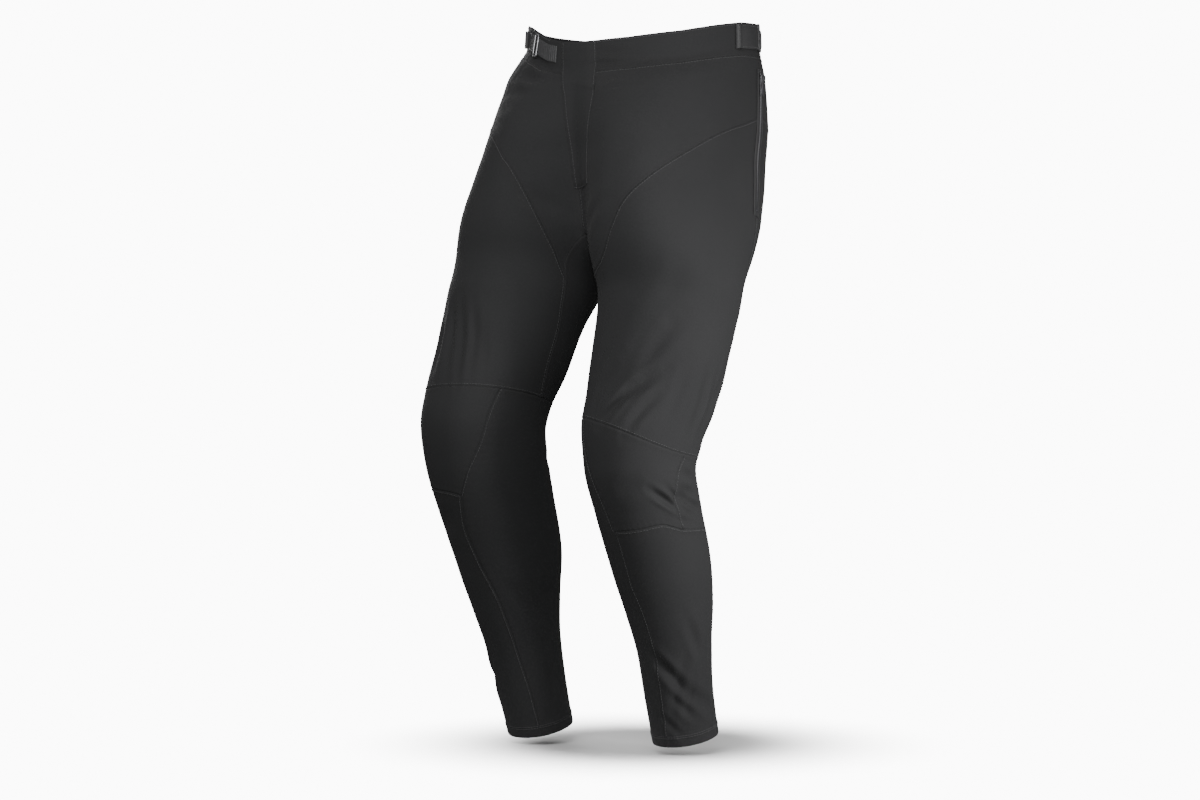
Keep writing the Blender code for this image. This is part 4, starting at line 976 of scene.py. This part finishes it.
# %% Sew the knees, shins and calves
def sew_lower_leg(side, name):
    inner_top, outer_top = KNEE_INNER[side][0][0], KNEE_OUTER[side][0][0]
    calf_top, inseam_back, inseam_front = (run[side][edge][0] for run, edge in (
        (CALF_INNER, 0), (INSEAM_BACK, -1), (INSEAM_FRONT, -1)))
    knee_low = seam(KNEE_LOW[side], KNEE_COLUMNS * FINE)
    side_low = seam((KNEE_LOW[side][-1], KNEE_LOW_SIDE[side]), KNEE_SIDE_COLUMNS * FINE)
    inner = seam(starting(side, KNEE_INNER[side]), KNEE_ROWS * FINE)
    outer = seam(starting(side, KNEE_OUTER[side]), KNEE_ROWS * FINE)
    top = knee_run(side, inner_top, KNEE_COLUMNS * FINE, outer_top)
    sew(f"sewn_knee_front_{name}", patch(side, top, knee_low, inner, outer), CLOTH)

    top = knee_run(side, outer_top, KNEE_SIDE_COLUMNS * FINE, BACK_SIDE_ANGLE)
    calf_outer = seam((on_knee_top(side, BACK_SIDE_ANGLE), KNEE_LOW_SIDE[side]), KNEE_ROWS * FINE)
    sew(f"sewn_knee_side_{name}", patch(side, top, side_low, outer, calf_outer), CLOTH)

    to_hem = (seam_edge, hem_edge, seam_edge, seam_edge)
    columns = (KNEE_COLUMNS + KNEE_SIDE_COLUMNS) * FINE
    hem_front = seam((SHIN_INNER[side][-1], (OUTER_HEM_ANGLE, HEM)), columns)
    shin_inner = seam(SHIN_INNER[side], SHIN_ROWS * FINE)
    shin_outer = seam((KNEE_LOW_SIDE[side], (OUTER_HEM_ANGLE, HEM)), SHIN_ROWS * FINE)
    sew(f"sewn_shin_front_{name}", patch(side, knee_low + side_low[1:], hem_front, shin_inner, shin_outer),
        CLOTH, edges=to_hem)

    outer = calf_outer + shin_outer[1:]
    calf_inner = seam(starting(side, CALF_INNER[side]), len(outer) - 1)
    top = knee_run(side, BACK_SIDE_ANGLE, CALF_COLUMNS * FINE, 360 + calf_top)
    hem_back = seam(((OUTER_HEM_ANGLE, HEM), (360 + CALF_INNER[side][-1][0], HEM)), CALF_COLUMNS * FINE)
    sew(f"sewn_calf_back_{name}", patch(side, top, hem_back, outer, shifted(calf_inner, 360)), CLOTH,
        edges=to_hem)

    top = knee_run(side, calf_top, KNEE_INNER_COLUMNS * FINE, inseam_back, INNER_COLUMNS * FINE, inseam_front,
                   KNEE_INNER_COLUMNS * FINE, inner_top)
    hem_inner = seam((CALF_INNER[side][-1], SHIN_INNER[side][-1]), len(top) - 1)
    sew(f"sewn_inner_calf_{name}", patch(side, top, hem_inner, calf_inner, inner + shin_inner[1:]), CLOTH,
        edges=to_hem)


for side, name in ((1, "left"), (-1, "right")):
    sew_lower_leg(side, name)

# %% [markdown]
# The fly is a flap. Its free edge lies on the wearer's right front and stands a little proud, and towards the
# stitched line on the left it sinks into the front that it was cut with. So its lift is full at the free edge
# and fades over its width.

# %% Sew the fly
FLY_STEPS_DOWN, FLY_STEPS_ACROSS = 84, 20
FLY_LIFT = 0.0019
FLY_FLAT = 0.009
FLY_LOW, FLY_INSIDE = 0.0004, 0.0004
FLY_EVEN = 0.72
FLY_ROLL, FLY_ROLL_WIDE = 0.0009, 0.0011
FLY_RIM_ROLL, FLY_RIM_WIDE = 0.0007, 0.0013
FLY_CREASE, FLY_CREASE_DROP, FLY_CREASE_WIDE = 0.0010, 0.036, 0.005
FLY_PUCKER_LONG, FLY_PUCKER_AT, FLY_PUCKER_WIDE = 0.013, 0.004, 0.006


def fly_edge_places(drop):
    free = broken_line([(row[0], row[1]) for row in FLY_EDGES], drop)
    stitched = broken_line([(row[0], row[2]) for row in FLY_EDGES], drop)
    return free, stitched


def sew_fly():
    shares = [0.0, 0.012, 0.035] + [i / FLY_STEPS_ACROSS for i in range(2, FLY_STEPS_ACROSS)] + [0.975, 1.0]
    outer, inner, flat = [], [], []
    for r in range(FLY_STEPS_DOWN + 1):
        down = r / FLY_STEPS_DOWN
        drop = RIM + (FLY_END - RIM) * down
        free, stitched = fly_edge_places(drop)
        outer.append([])
        inner.append([])
        for share in shares:
            side, angle, at = fly_place(drop, free + (stitched - free) * share)
            ground, away = cloth(side, angle, at)
            aside = (stitched - free) * share
            lift = FLY_LIFT * (1 - smooth_step((share - FLY_EVEN) / (1 - FLY_EVEN))) + 0.0002
            lift -= FLY_ROLL * math.exp(-((aside / FLY_ROLL_WIDE) ** 2))
            lift -= FLY_RIM_ROLL * math.exp(-(((drop - RIM) / FLY_RIM_WIDE) ** 2))
            wave = math.sin(2 * math.pi * drop / FLY_PUCKER_LONG)
            lift += PUCKER_HIGH * wave * math.exp(-abs(aside - FLY_PUCKER_AT) / FLY_PUCKER_WIDE)
            below = (drop - FLY_CREASE_DROP - aside * 0.25) / FLY_CREASE_WIDE
            lift += FLY_CREASE * math.exp(-(below ** 2)) * share
            lift -= (lift - FLY_LOW) * smooth_step((drop - FLY_END + FLY_FLAT) / FLY_FLAT)
            outer[-1].append(ground + away * lift)
            inner[-1].append(ground - away * FLY_INSIDE)
            flat.append((aside, drop))
    made = on_garment(closed_shell("sewn_fly_placket", outer, inner, flat), CLOTH)
    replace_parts(made, "fly_placket")
    area = sum(f.area for f in made.data.polygons[:2 * FLY_STEPS_DOWN * (len(shares) - 1)]) / 2
    area / (FLY_END - RIM)


sew_fly()

# %% [markdown]
# Stitches make a garment look sewn. Each one is a short length of thread that comes up through the cloth,
# lies on it and dips back in. A row of them follows a seam a couple of millimetres to one side, so a seam's
# places are first moved sideways over the form, and the stitches are then counted off along that line.

# %% Rows of stitches
STITCH_LONG, STITCH_GAP = 0.0030, 0.0009
THREAD_RADIUS = 0.00030
THREAD_SIDES = 5
STITCH_SHAPE = ((0.0, -0.00025), (0.22, 0.0002), (0.78, 0.0002), (1.0, -0.00025))


def beside(side, places, shift):
    """The run of places moved sideways over the form: so far to the left when looking down along it."""
    moved = []
    for i, (angle, drop) in enumerate(places):
        before, after = places[max(i - 1, 0)], places[min(i + 1, len(places) - 1)]
        arc = arc_of_degree(side, angle, drop)
        along = ((after[0] - before[0]) * arc, after[1] - before[1])
        long = math.hypot(*along) or 1.0
        moved.append((angle + shift * along[1] / long / arc, drop - shift * along[0] / long))
    return moved


def stitch_row(side, places, lift):
    """Centre lines of the stitches along a run of places, four points each."""
    lengths = [0.0]
    for a, b in zip(places, places[1:]):
        lengths.append(lengths[-1] + (bare_point(side, *b) - bare_point(side, *a)).length)
    count = max(1, int(lengths[-1] / (STITCH_LONG + STITCH_GAP)))
    pitch = lengths[-1] / count
    found, k = [], 0
    for i in range(count):
        stitch = []
        for share, high in STITCH_SHAPE:
            want = i * pitch + STITCH_GAP / 2 + share * (pitch - STITCH_GAP)
            while k < len(lengths) - 2 and lengths[k + 1] < want:
                k += 1
            part = (want - lengths[k]) / max(lengths[k + 1] - lengths[k], 1e-9)
            angle = places[k][0] + (places[k + 1][0] - places[k][0]) * part
            drop = places[k][1] + (places[k + 1][1] - places[k][1]) * part
            at, away = cloth(side, angle, drop)
            stitch.append((at + away * (high + lift), away))
        found.append(stitch)
    return found


def lay_stitches(name, stitches):
    """One mesh of many short threads."""
    points, faces = [], []
    for stitch in stitches:
        start = len(points)
        along = (stitch[-1][0] - stitch[0][0]).normalized()
        for at, away in stitch:
            aside = along.cross(away).normalized()
            for k in range(THREAD_SIDES):
                turn = 2 * math.pi * k / THREAD_SIDES
                points.append(at + (aside * math.cos(turn) + away * math.sin(turn)) * THREAD_RADIUS)
        rings = len(stitch)
        for r in range(rings - 1):
            for k in range(THREAD_SIDES):
                a, b = start + r * THREAD_SIDES + k, start + r * THREAD_SIDES + (k + 1) % THREAD_SIDES
                faces.append((a, b, b + THREAD_SIDES, a + THREAD_SIDES))
        faces.append(tuple(start + k for k in reversed(range(THREAD_SIDES))))
        faces.append(tuple(start + (rings - 1) * THREAD_SIDES + k for k in range(THREAD_SIDES)))
    made = on_garment(new_piece(name, points, faces), THREAD)
    made.data.shade_smooth()


# %% Stitch the seams
BESIDE_SEAM = 0.0024
HEM_STITCHES = (0.0125, 0.0150)
RUN_PLACES = 50
STITCHED_BACK = 210


def spread(start, end, count):
    return [start + (end - start) * i / count for i in range(count + 1)]


def leg_rows(side):
    """The stitched seams of one leg, each with how far beside the seam its row lies."""
    inner, inseam = KNEE_INNER[side][0][0], INSEAM_FRONT[side][-1][0]
    above_knee = ((inner, BACK_SIDE_ANGLE, 50), (inseam, inner, 20), (BACK_SIDE_ANGLE, STITCHED_BACK, 40))
    knee_top_front, knee_top_inner, knee_back = (
        [on_knee_top(side, angle) for angle in spread(*run)] for run in above_knee)
    side_end, side_drop = SIDE_UPPER[-1]
    yoke = list(zip(spread(side_end, 180 + edge_angle(side, YOKE_BACK_DROP), 40),
                    spread(side_drop, YOKE_BACK_DROP, 40)))
    low_to_side = seam((KNEE_LOW[side][-1], KNEE_LOW_SIDE[side]), 10)
    return [
        (seam(SCOOP[side], RUN_PLACES), -BESIDE_SEAM),
        (seam(ending(side, SIDE_LOWER[side]), RUN_PLACES), BESIDE_SEAM),
        (seam(ending(side, INSEAM_FRONT[side]), RUN_PLACES), BESIDE_SEAM),
        (knee_top_front, BESIDE_SEAM),
        (knee_top_inner, BESIDE_SEAM),
        (seam(starting(side, KNEE_INNER[side]), RUN_PLACES), -BESIDE_SEAM),
        (seam(starting(side, KNEE_OUTER[side]), RUN_PLACES), BESIDE_SEAM),
        (seam(KNEE_LOW[side], RUN_PLACES) + low_to_side[1:], -BESIDE_SEAM),
        (seam(SHIN_INNER[side], RUN_PLACES), BESIDE_SEAM),
        (yoke, -BESIDE_SEAM),
        (knee_back, BESIDE_SEAM),
    ]


for side, name in ((1, "left"), (-1, "right")):
    stitches = []
    for places, shift in leg_rows(side):
        stitches += stitch_row(side, beside(side, places, shift), ALLOWANCE_HIGH)
    lay_stitches(f"seam_stitches_{name}", stitches)
    hems = []
    for high in HEM_STITCHES:
        hems += stitch_row(side, [(-180 + 360 * i / 90, HEM - high) for i in range(91)], HEM_HIGH)
    lay_stitches(f"hem_stitches_{name}", hems)
    print(name, "seam stitches:", len(stitches), "hem stitches:", len(hems))

# %% Stitch the waistband and the fly
band_stitches = []
for side in (1, -1):
    below = [(180 * i / 90, WAIST_SEAM + BESIDE_SEAM) for i in range(4 if side > 0 else 10, 91)]
    rim = [(180 * i / 90, RIM + 0.0030) for i in range(2 if side > 0 else 10, 91)]
    band_stitches += stitch_row(side, below, ALLOWANCE_HIGH) + stitch_row(side, rim, 0.0)
    seat = [(180 + edge_angle(side, drop), drop) for drop in (WAIST_SEAM + 0.2 * i / 30 for i in range(31))]
    band_stitches += stitch_row(side, beside(side, seat, BESIDE_SEAM), ALLOWANCE_HIGH)
lay_stitches("waist_stitches", band_stitches)

fly_stitches = []
drops = [RIM + 0.002 + (FLY_END - RIM - 0.002) * i / 60 for i in range(61)]
free_row = [fly_place(drop, fly_edge_places(drop)[0] + 0.0045) for drop in drops]
join_row = [fly_place(drop, fly_edge_places(drop)[1] - 0.0030) for drop in drops]
bar_row = [fly_place(FLY_END - 0.002, x) for x in (-0.006 + 0.024 * i / 12 for i in range(13))]
centre_row = [fly_place(drop, 0.0026) for drop in (FLY_END + 0.052 * i / 16 for i in range(17))]
for row, lift in ((free_row, FLY_LIFT), (join_row, 0.0005), (bar_row, 0.0012), (centre_row, ALLOWANCE_HIGH)):
    for side in (1, -1):
        part = [(angle, drop) for of_side, angle, drop in row if of_side == side]
        if len(part) > 1:
            fly_stitches += stitch_row(side, part, lift)
lay_stitches("fly_stitches", fly_stitches)
print("waist stitches:", len(band_stitches), "fly stitches:", len(fly_stitches))

# %% [markdown]
# The side pocket zips are closed. The tape is sewn flat along the side seam, and its teeth are two rows of
# small blocks that lock into each other, so each tooth is a short bar set across the zip, left and right in
# turn. The sliders and their pull tabs keep their solids, since those have the right form already.

# %% Zip tapes and teeth
TOOTH_PITCH = 0.0015
TOOTH_LONG, TOOTH_WIDE, TOOTH_HIGH = 0.00105, 0.0032, 0.0010
TOOTH_OUT, TEETH_CLEAR = 0.0021, 0.003
TAPE_OUT, TAPE_THICK = 0.0014, 0.0004
TAPE_STITCHES, TAPE_STITCHED = 0.0078, 0.165


def strip_grid(side, centre_of, half, start, end, rows, columns):
    """Places of a strip that runs down the form; centre_of gives its middle's angle at a drop."""
    grid = []
    for r in range(rows + 1):
        drop = start + (end - start) * r / rows
        angle = centre_of(side, drop)
        arc = arc_of_degree(side, angle, drop)
        grid.append([(side, angle + half * (2 * c / columns - 1) / arc, drop) for c in range(columns + 1)])
    return grid


def tape_edge(away, along):
    return -0.0006 * math.exp(-((away / 0.0009) ** 2))


def block(points, faces, middle, ways, sizes):
    start = len(points)
    for a in (-1, 1):
        for b in (-1, 1):
            for c in (-1, 1):
                shrink = 0.8 if c > 0 else 1.0
                points.append(middle + ways[0] * a * sizes[0] / 2 * shrink
                              + ways[1] * b * sizes[1] / 2 * shrink + ways[2] * c * sizes[2] / 2)
    for face in ((0, 1, 3, 2), (4, 6, 7, 5), (0, 4, 5, 1), (2, 3, 7, 6), (0, 2, 6, 4), (1, 5, 7, 3)):
        faces.append(tuple(start + i for i in face))


for side, name in ((1, "left"), (-1, "right")):
    grid = strip_grid(side, side_angle, TAPE_HALF, ZIP_TOP, ZIP_END, 60, 6)
    sew(f"sewn_zip_tape_{name}", grid, TAPE, edges=(tape_edge,) * 4, out=TAPE_OUT, thick=TAPE_THICK,
        sheet=False)
    points, faces = [], []
    teeth = int((ZIP_END - ZIP_TOP - 2 * TEETH_CLEAR) / TOOTH_PITCH)
    for i in range(teeth):
        drop = ZIP_TOP + TEETH_CLEAR + i * TOOTH_PITCH
        angle = side_angle(side, drop)
        at, away = cloth(side, angle, drop)
        down = (bare_point(side, angle, drop + 0.002) - bare_point(side, angle, drop - 0.002)).normalized()
        aside = away.cross(down).normalized()
        turn = 1 if i % 2 else -1
        middle = at + away * TOOTH_OUT + aside * turn * TOOTH_WIDE * 0.22
        block(points, faces, middle, (down, aside, away), (TOOTH_LONG, TOOTH_WIDE, TOOTH_HIGH))
    on_garment(new_piece(f"zip_teeth_{name}", points, faces), TEETH)
    rows = []
    for shift in (-TAPE_STITCHES, TAPE_STITCHES):
        drops = (ZIP_TOP + TAPE_STITCHED * i / 40 for i in range(41))
        run = [(side_angle(side, drop), drop) for drop in drops]
        rows += stitch_row(side, beside(side, run, shift), TAPE_OUT)
    lay_stitches(f"zip_stitches_{name}", rows)
print("teeth in each zip:", teeth)

# %% [markdown]
# Each waist adjuster is a ribbed ladder strap, a wire ring and a webbing tab whose end is folded back on
# itself. The ribs run across the strap, and the fold stands as a rounded bar. The straps lie on the
# waistband, so their grids run round the form and their thickness is raised from it.

# %% Waist adjusters
RIB_PITCH, RIB_HIGH = 0.0046, 0.0009
STRAP_EDGE = 0.0005
FOLD_WIDE, FOLD_HIGH = 0.0062, 0.0036


def lay_strap(name, side, run, half, finish, node, height, columns):
    """A strap round the waistband; height gives its outer face so far along it, in metres."""
    outer, inner, flat = [], [], []
    start, end = run
    arc = arc_of_degree(side, (start + end) / 2, STRAP_MIDDLE)
    for down in (0.0, 0.03, 0.08, 0.2, 0.4, 0.6, 0.8, 0.92, 0.97, 1.0):
        drop = STRAP_MIDDLE + half * (2 * down - 1)
        soft = STRAP_EDGE * (1 - min(1.0, min(down, 1 - down) / 0.08))
        outer.append([])
        inner.append([])
        for c in range(columns + 1):
            angle = start + (end - start) * c / columns
            along = (angle - start) * arc
            at, away = cloth(side, angle, drop)
            outer[-1].append(at + away * (height(along) - soft - (STRAP_EDGE if c in (0, columns) else 0.0)))
            inner[-1].append(at + away * 0.0003)
            flat.append((along, 2 * half * down))
    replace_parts(on_garment(closed_shell(name, outer, inner, flat), finish), node)


def ladder_height(along):
    """Rounded ribs with narrow grooves between them."""
    return 0.0019 + RIB_HIGH * abs(math.sin(math.pi * along / RIB_PITCH)) ** 0.5


def tab_height(middle):
    """The flat webbing, and the roll where its end is folded back."""
    return lambda along: 0.0022 + FOLD_HIGH * math.exp(-(((along - middle) / (FOLD_WIDE / 2)) ** 4))


for side, name in ((1, "left"), (-1, "right")):
    ladder_from, ladder_to, tab_from, tab_to = ADJUSTERS[side]
    arc = arc_of_degree(side, (tab_from + tab_to) / 2, STRAP_MIDDLE)
    columns = round((ladder_to - ladder_from) * arc / 0.00046)
    lay_strap(f"ladder_strap_{name}", side, (ladder_from, ladder_to), LADDER_HALF, LADDER,
              f"adjuster_ladder_{name}", ladder_height, columns)
    long = (tab_to - tab_from) * arc
    folded = 0.6 * FOLD_WIDE if side == 1 else long - 0.6 * FOLD_WIDE
    lay_strap(f"webbing_tab_{name}", side, (tab_from, tab_to), TAB_HALF[side], WEBBING,
              f"adjuster_tab_{name}", tab_height(folded), 72)
    rows = []
    edge = TAB_HALF[side] - 0.0024
    for shift in (-edge, edge):
        run = [(tab_from + (tab_to - tab_from) * i / 20, STRAP_MIDDLE + shift) for i in range(1, 20)]
        run = [at for at in run if abs((at[0] - tab_from) * arc - folded) > FOLD_WIDE * 0.8]
        rows += stitch_row(side, run, 0.0022)
    lay_stitches(f"tab_stitches_{name}", rows)

for node, finish in (("adjuster_ring", WIRE), ("zip_slider", PULL), ("zip_pull", PULL)):
    for name in ("left", "right"):
        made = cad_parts[f"{node}_{name}"]
        made.data.materials.clear()
        made.data.materials.append(finish)

# %% [markdown]
# The trousers stand over a plain pale floor, opaque in a disc round their feet and fading out beyond it into
# a white surround, so the grey disc is a painted shadow under them, with their own soft shadow cast on it
# too.
# Black cloth needs light from one side to show its form. A broad box stands in front and above, a narrow one
# low at the wearer's left brightens the near leg, and weak ones at the right and above open the shadows.
# The strongest stands behind, for the views of the back. The surround is white to the camera but only a faint
# light, because an even light from everywhere would wash the folds out.

# %% Floor, light and surround
FLOOR_BELOW = 0.010
# Radius within which the floor stays opaque; the grey disc round the feet, fading out beyond it, is a painted
# shadow.
SHADOW_DISC_CLEAR = 0.13

bpy.ops.mesh.primitive_plane_add(size=2, location=(0, 0, CAD_BOX[0][2] - FLOOR_BELOW))
floor = bpy.context.object
floor.name = "floor"
pale = Finish("pale_floor_painted_shadow", Roughness=0.95)
pale.shader.inputs["Base Color"].default_value = (0.66, 0.66, 0.66, 1)
pale.shader.inputs["Specular IOR Level"].default_value = 0.0
# The floor's opacity fades with distance from its middle under the feet, leaving a grey disc there as a
# painted shadow against the white surround.
place = pale.node("ShaderNodeTexCoord", {}, {}, 3)
far = pale.node("ShaderNodeVectorMath", {"operation": "LENGTH"}, {0: place}, 1)
fade = pale.node("ShaderNodeMapRange", {"interpolation_type": "SMOOTHSTEP"},
                 {"Value": far, "From Min": SHADOW_DISC_CLEAR, "From Max": SHADOW_DISC_CLEAR * 3.4})
pale.feed(pale.shader.inputs["Alpha"], 1 - fade)
floor.data.materials.append(pale.material)


def soft_box(name, power, size, place, at, spread=180):
    bpy.ops.object.light_add(type="AREA", location=place)
    lamp = bpy.context.object
    lamp.name = name
    lamp.data.energy = power
    lamp.data.shape = "RECTANGLE"
    lamp.data.size, lamp.data.size_y = size
    lamp.data.spread = math.radians(spread)
    lamp.visible_camera = False
    lamp.rotation_euler = (Vector(at) - Vector(place)).to_track_quat("-Z", "Y").to_euler()


soft_box("left_box", 5.5, (0.5, 0.5), across_view * 1.15 + towards_camera * 0.85 + Vector((0, 0, -0.52)),
         (0.08, -0.1, -0.48), spread=75)
soft_box("front_box", 26, (0.9, 0.8), towards_camera * 1.5 - across_view * 0.30 + Vector((0, 0, 0.42)),
         (0, 0, -0.16))
soft_box("right_box", 4.5, (0.6, 0.8), towards_camera * 0.9 - across_view * 1.25 + Vector((0, 0, 0.10)),
         (-0.1, -0.1, -0.22))
soft_box("back_box", 50, (1.4, 1.2), towards_camera * -2.3 - across_view * 0.6 + Vector((0, 0, 0.40)),
         (0, 0, -0.30))
soft_box("top_box", 8, (1.2, 1.2), Vector((0, 0, 1.7)), (0, 0, -0.45))

SURROUND_SEEN, SURROUND_LIGHT = 11.0, 0.16
world = bpy.data.worlds.new("white_surround")
bpy.context.scene.world = world
world.use_nodes = True
surround = world.node_tree.nodes["Background"]
surround.inputs["Color"].default_value = (1, 1, 1, 1)
path = world.node_tree.nodes.new("ShaderNodeLightPath")
strength = world.node_tree.nodes.new("ShaderNodeMapRange")
strength.inputs["To Min"].default_value = SURROUND_LIGHT
strength.inputs["To Max"].default_value = SURROUND_SEEN
world.node_tree.links.new(path.outputs["Is Camera Ray"], strength.inputs["Value"])
world.node_tree.links.new(strength.outputs["Result"], surround.inputs["Strength"])
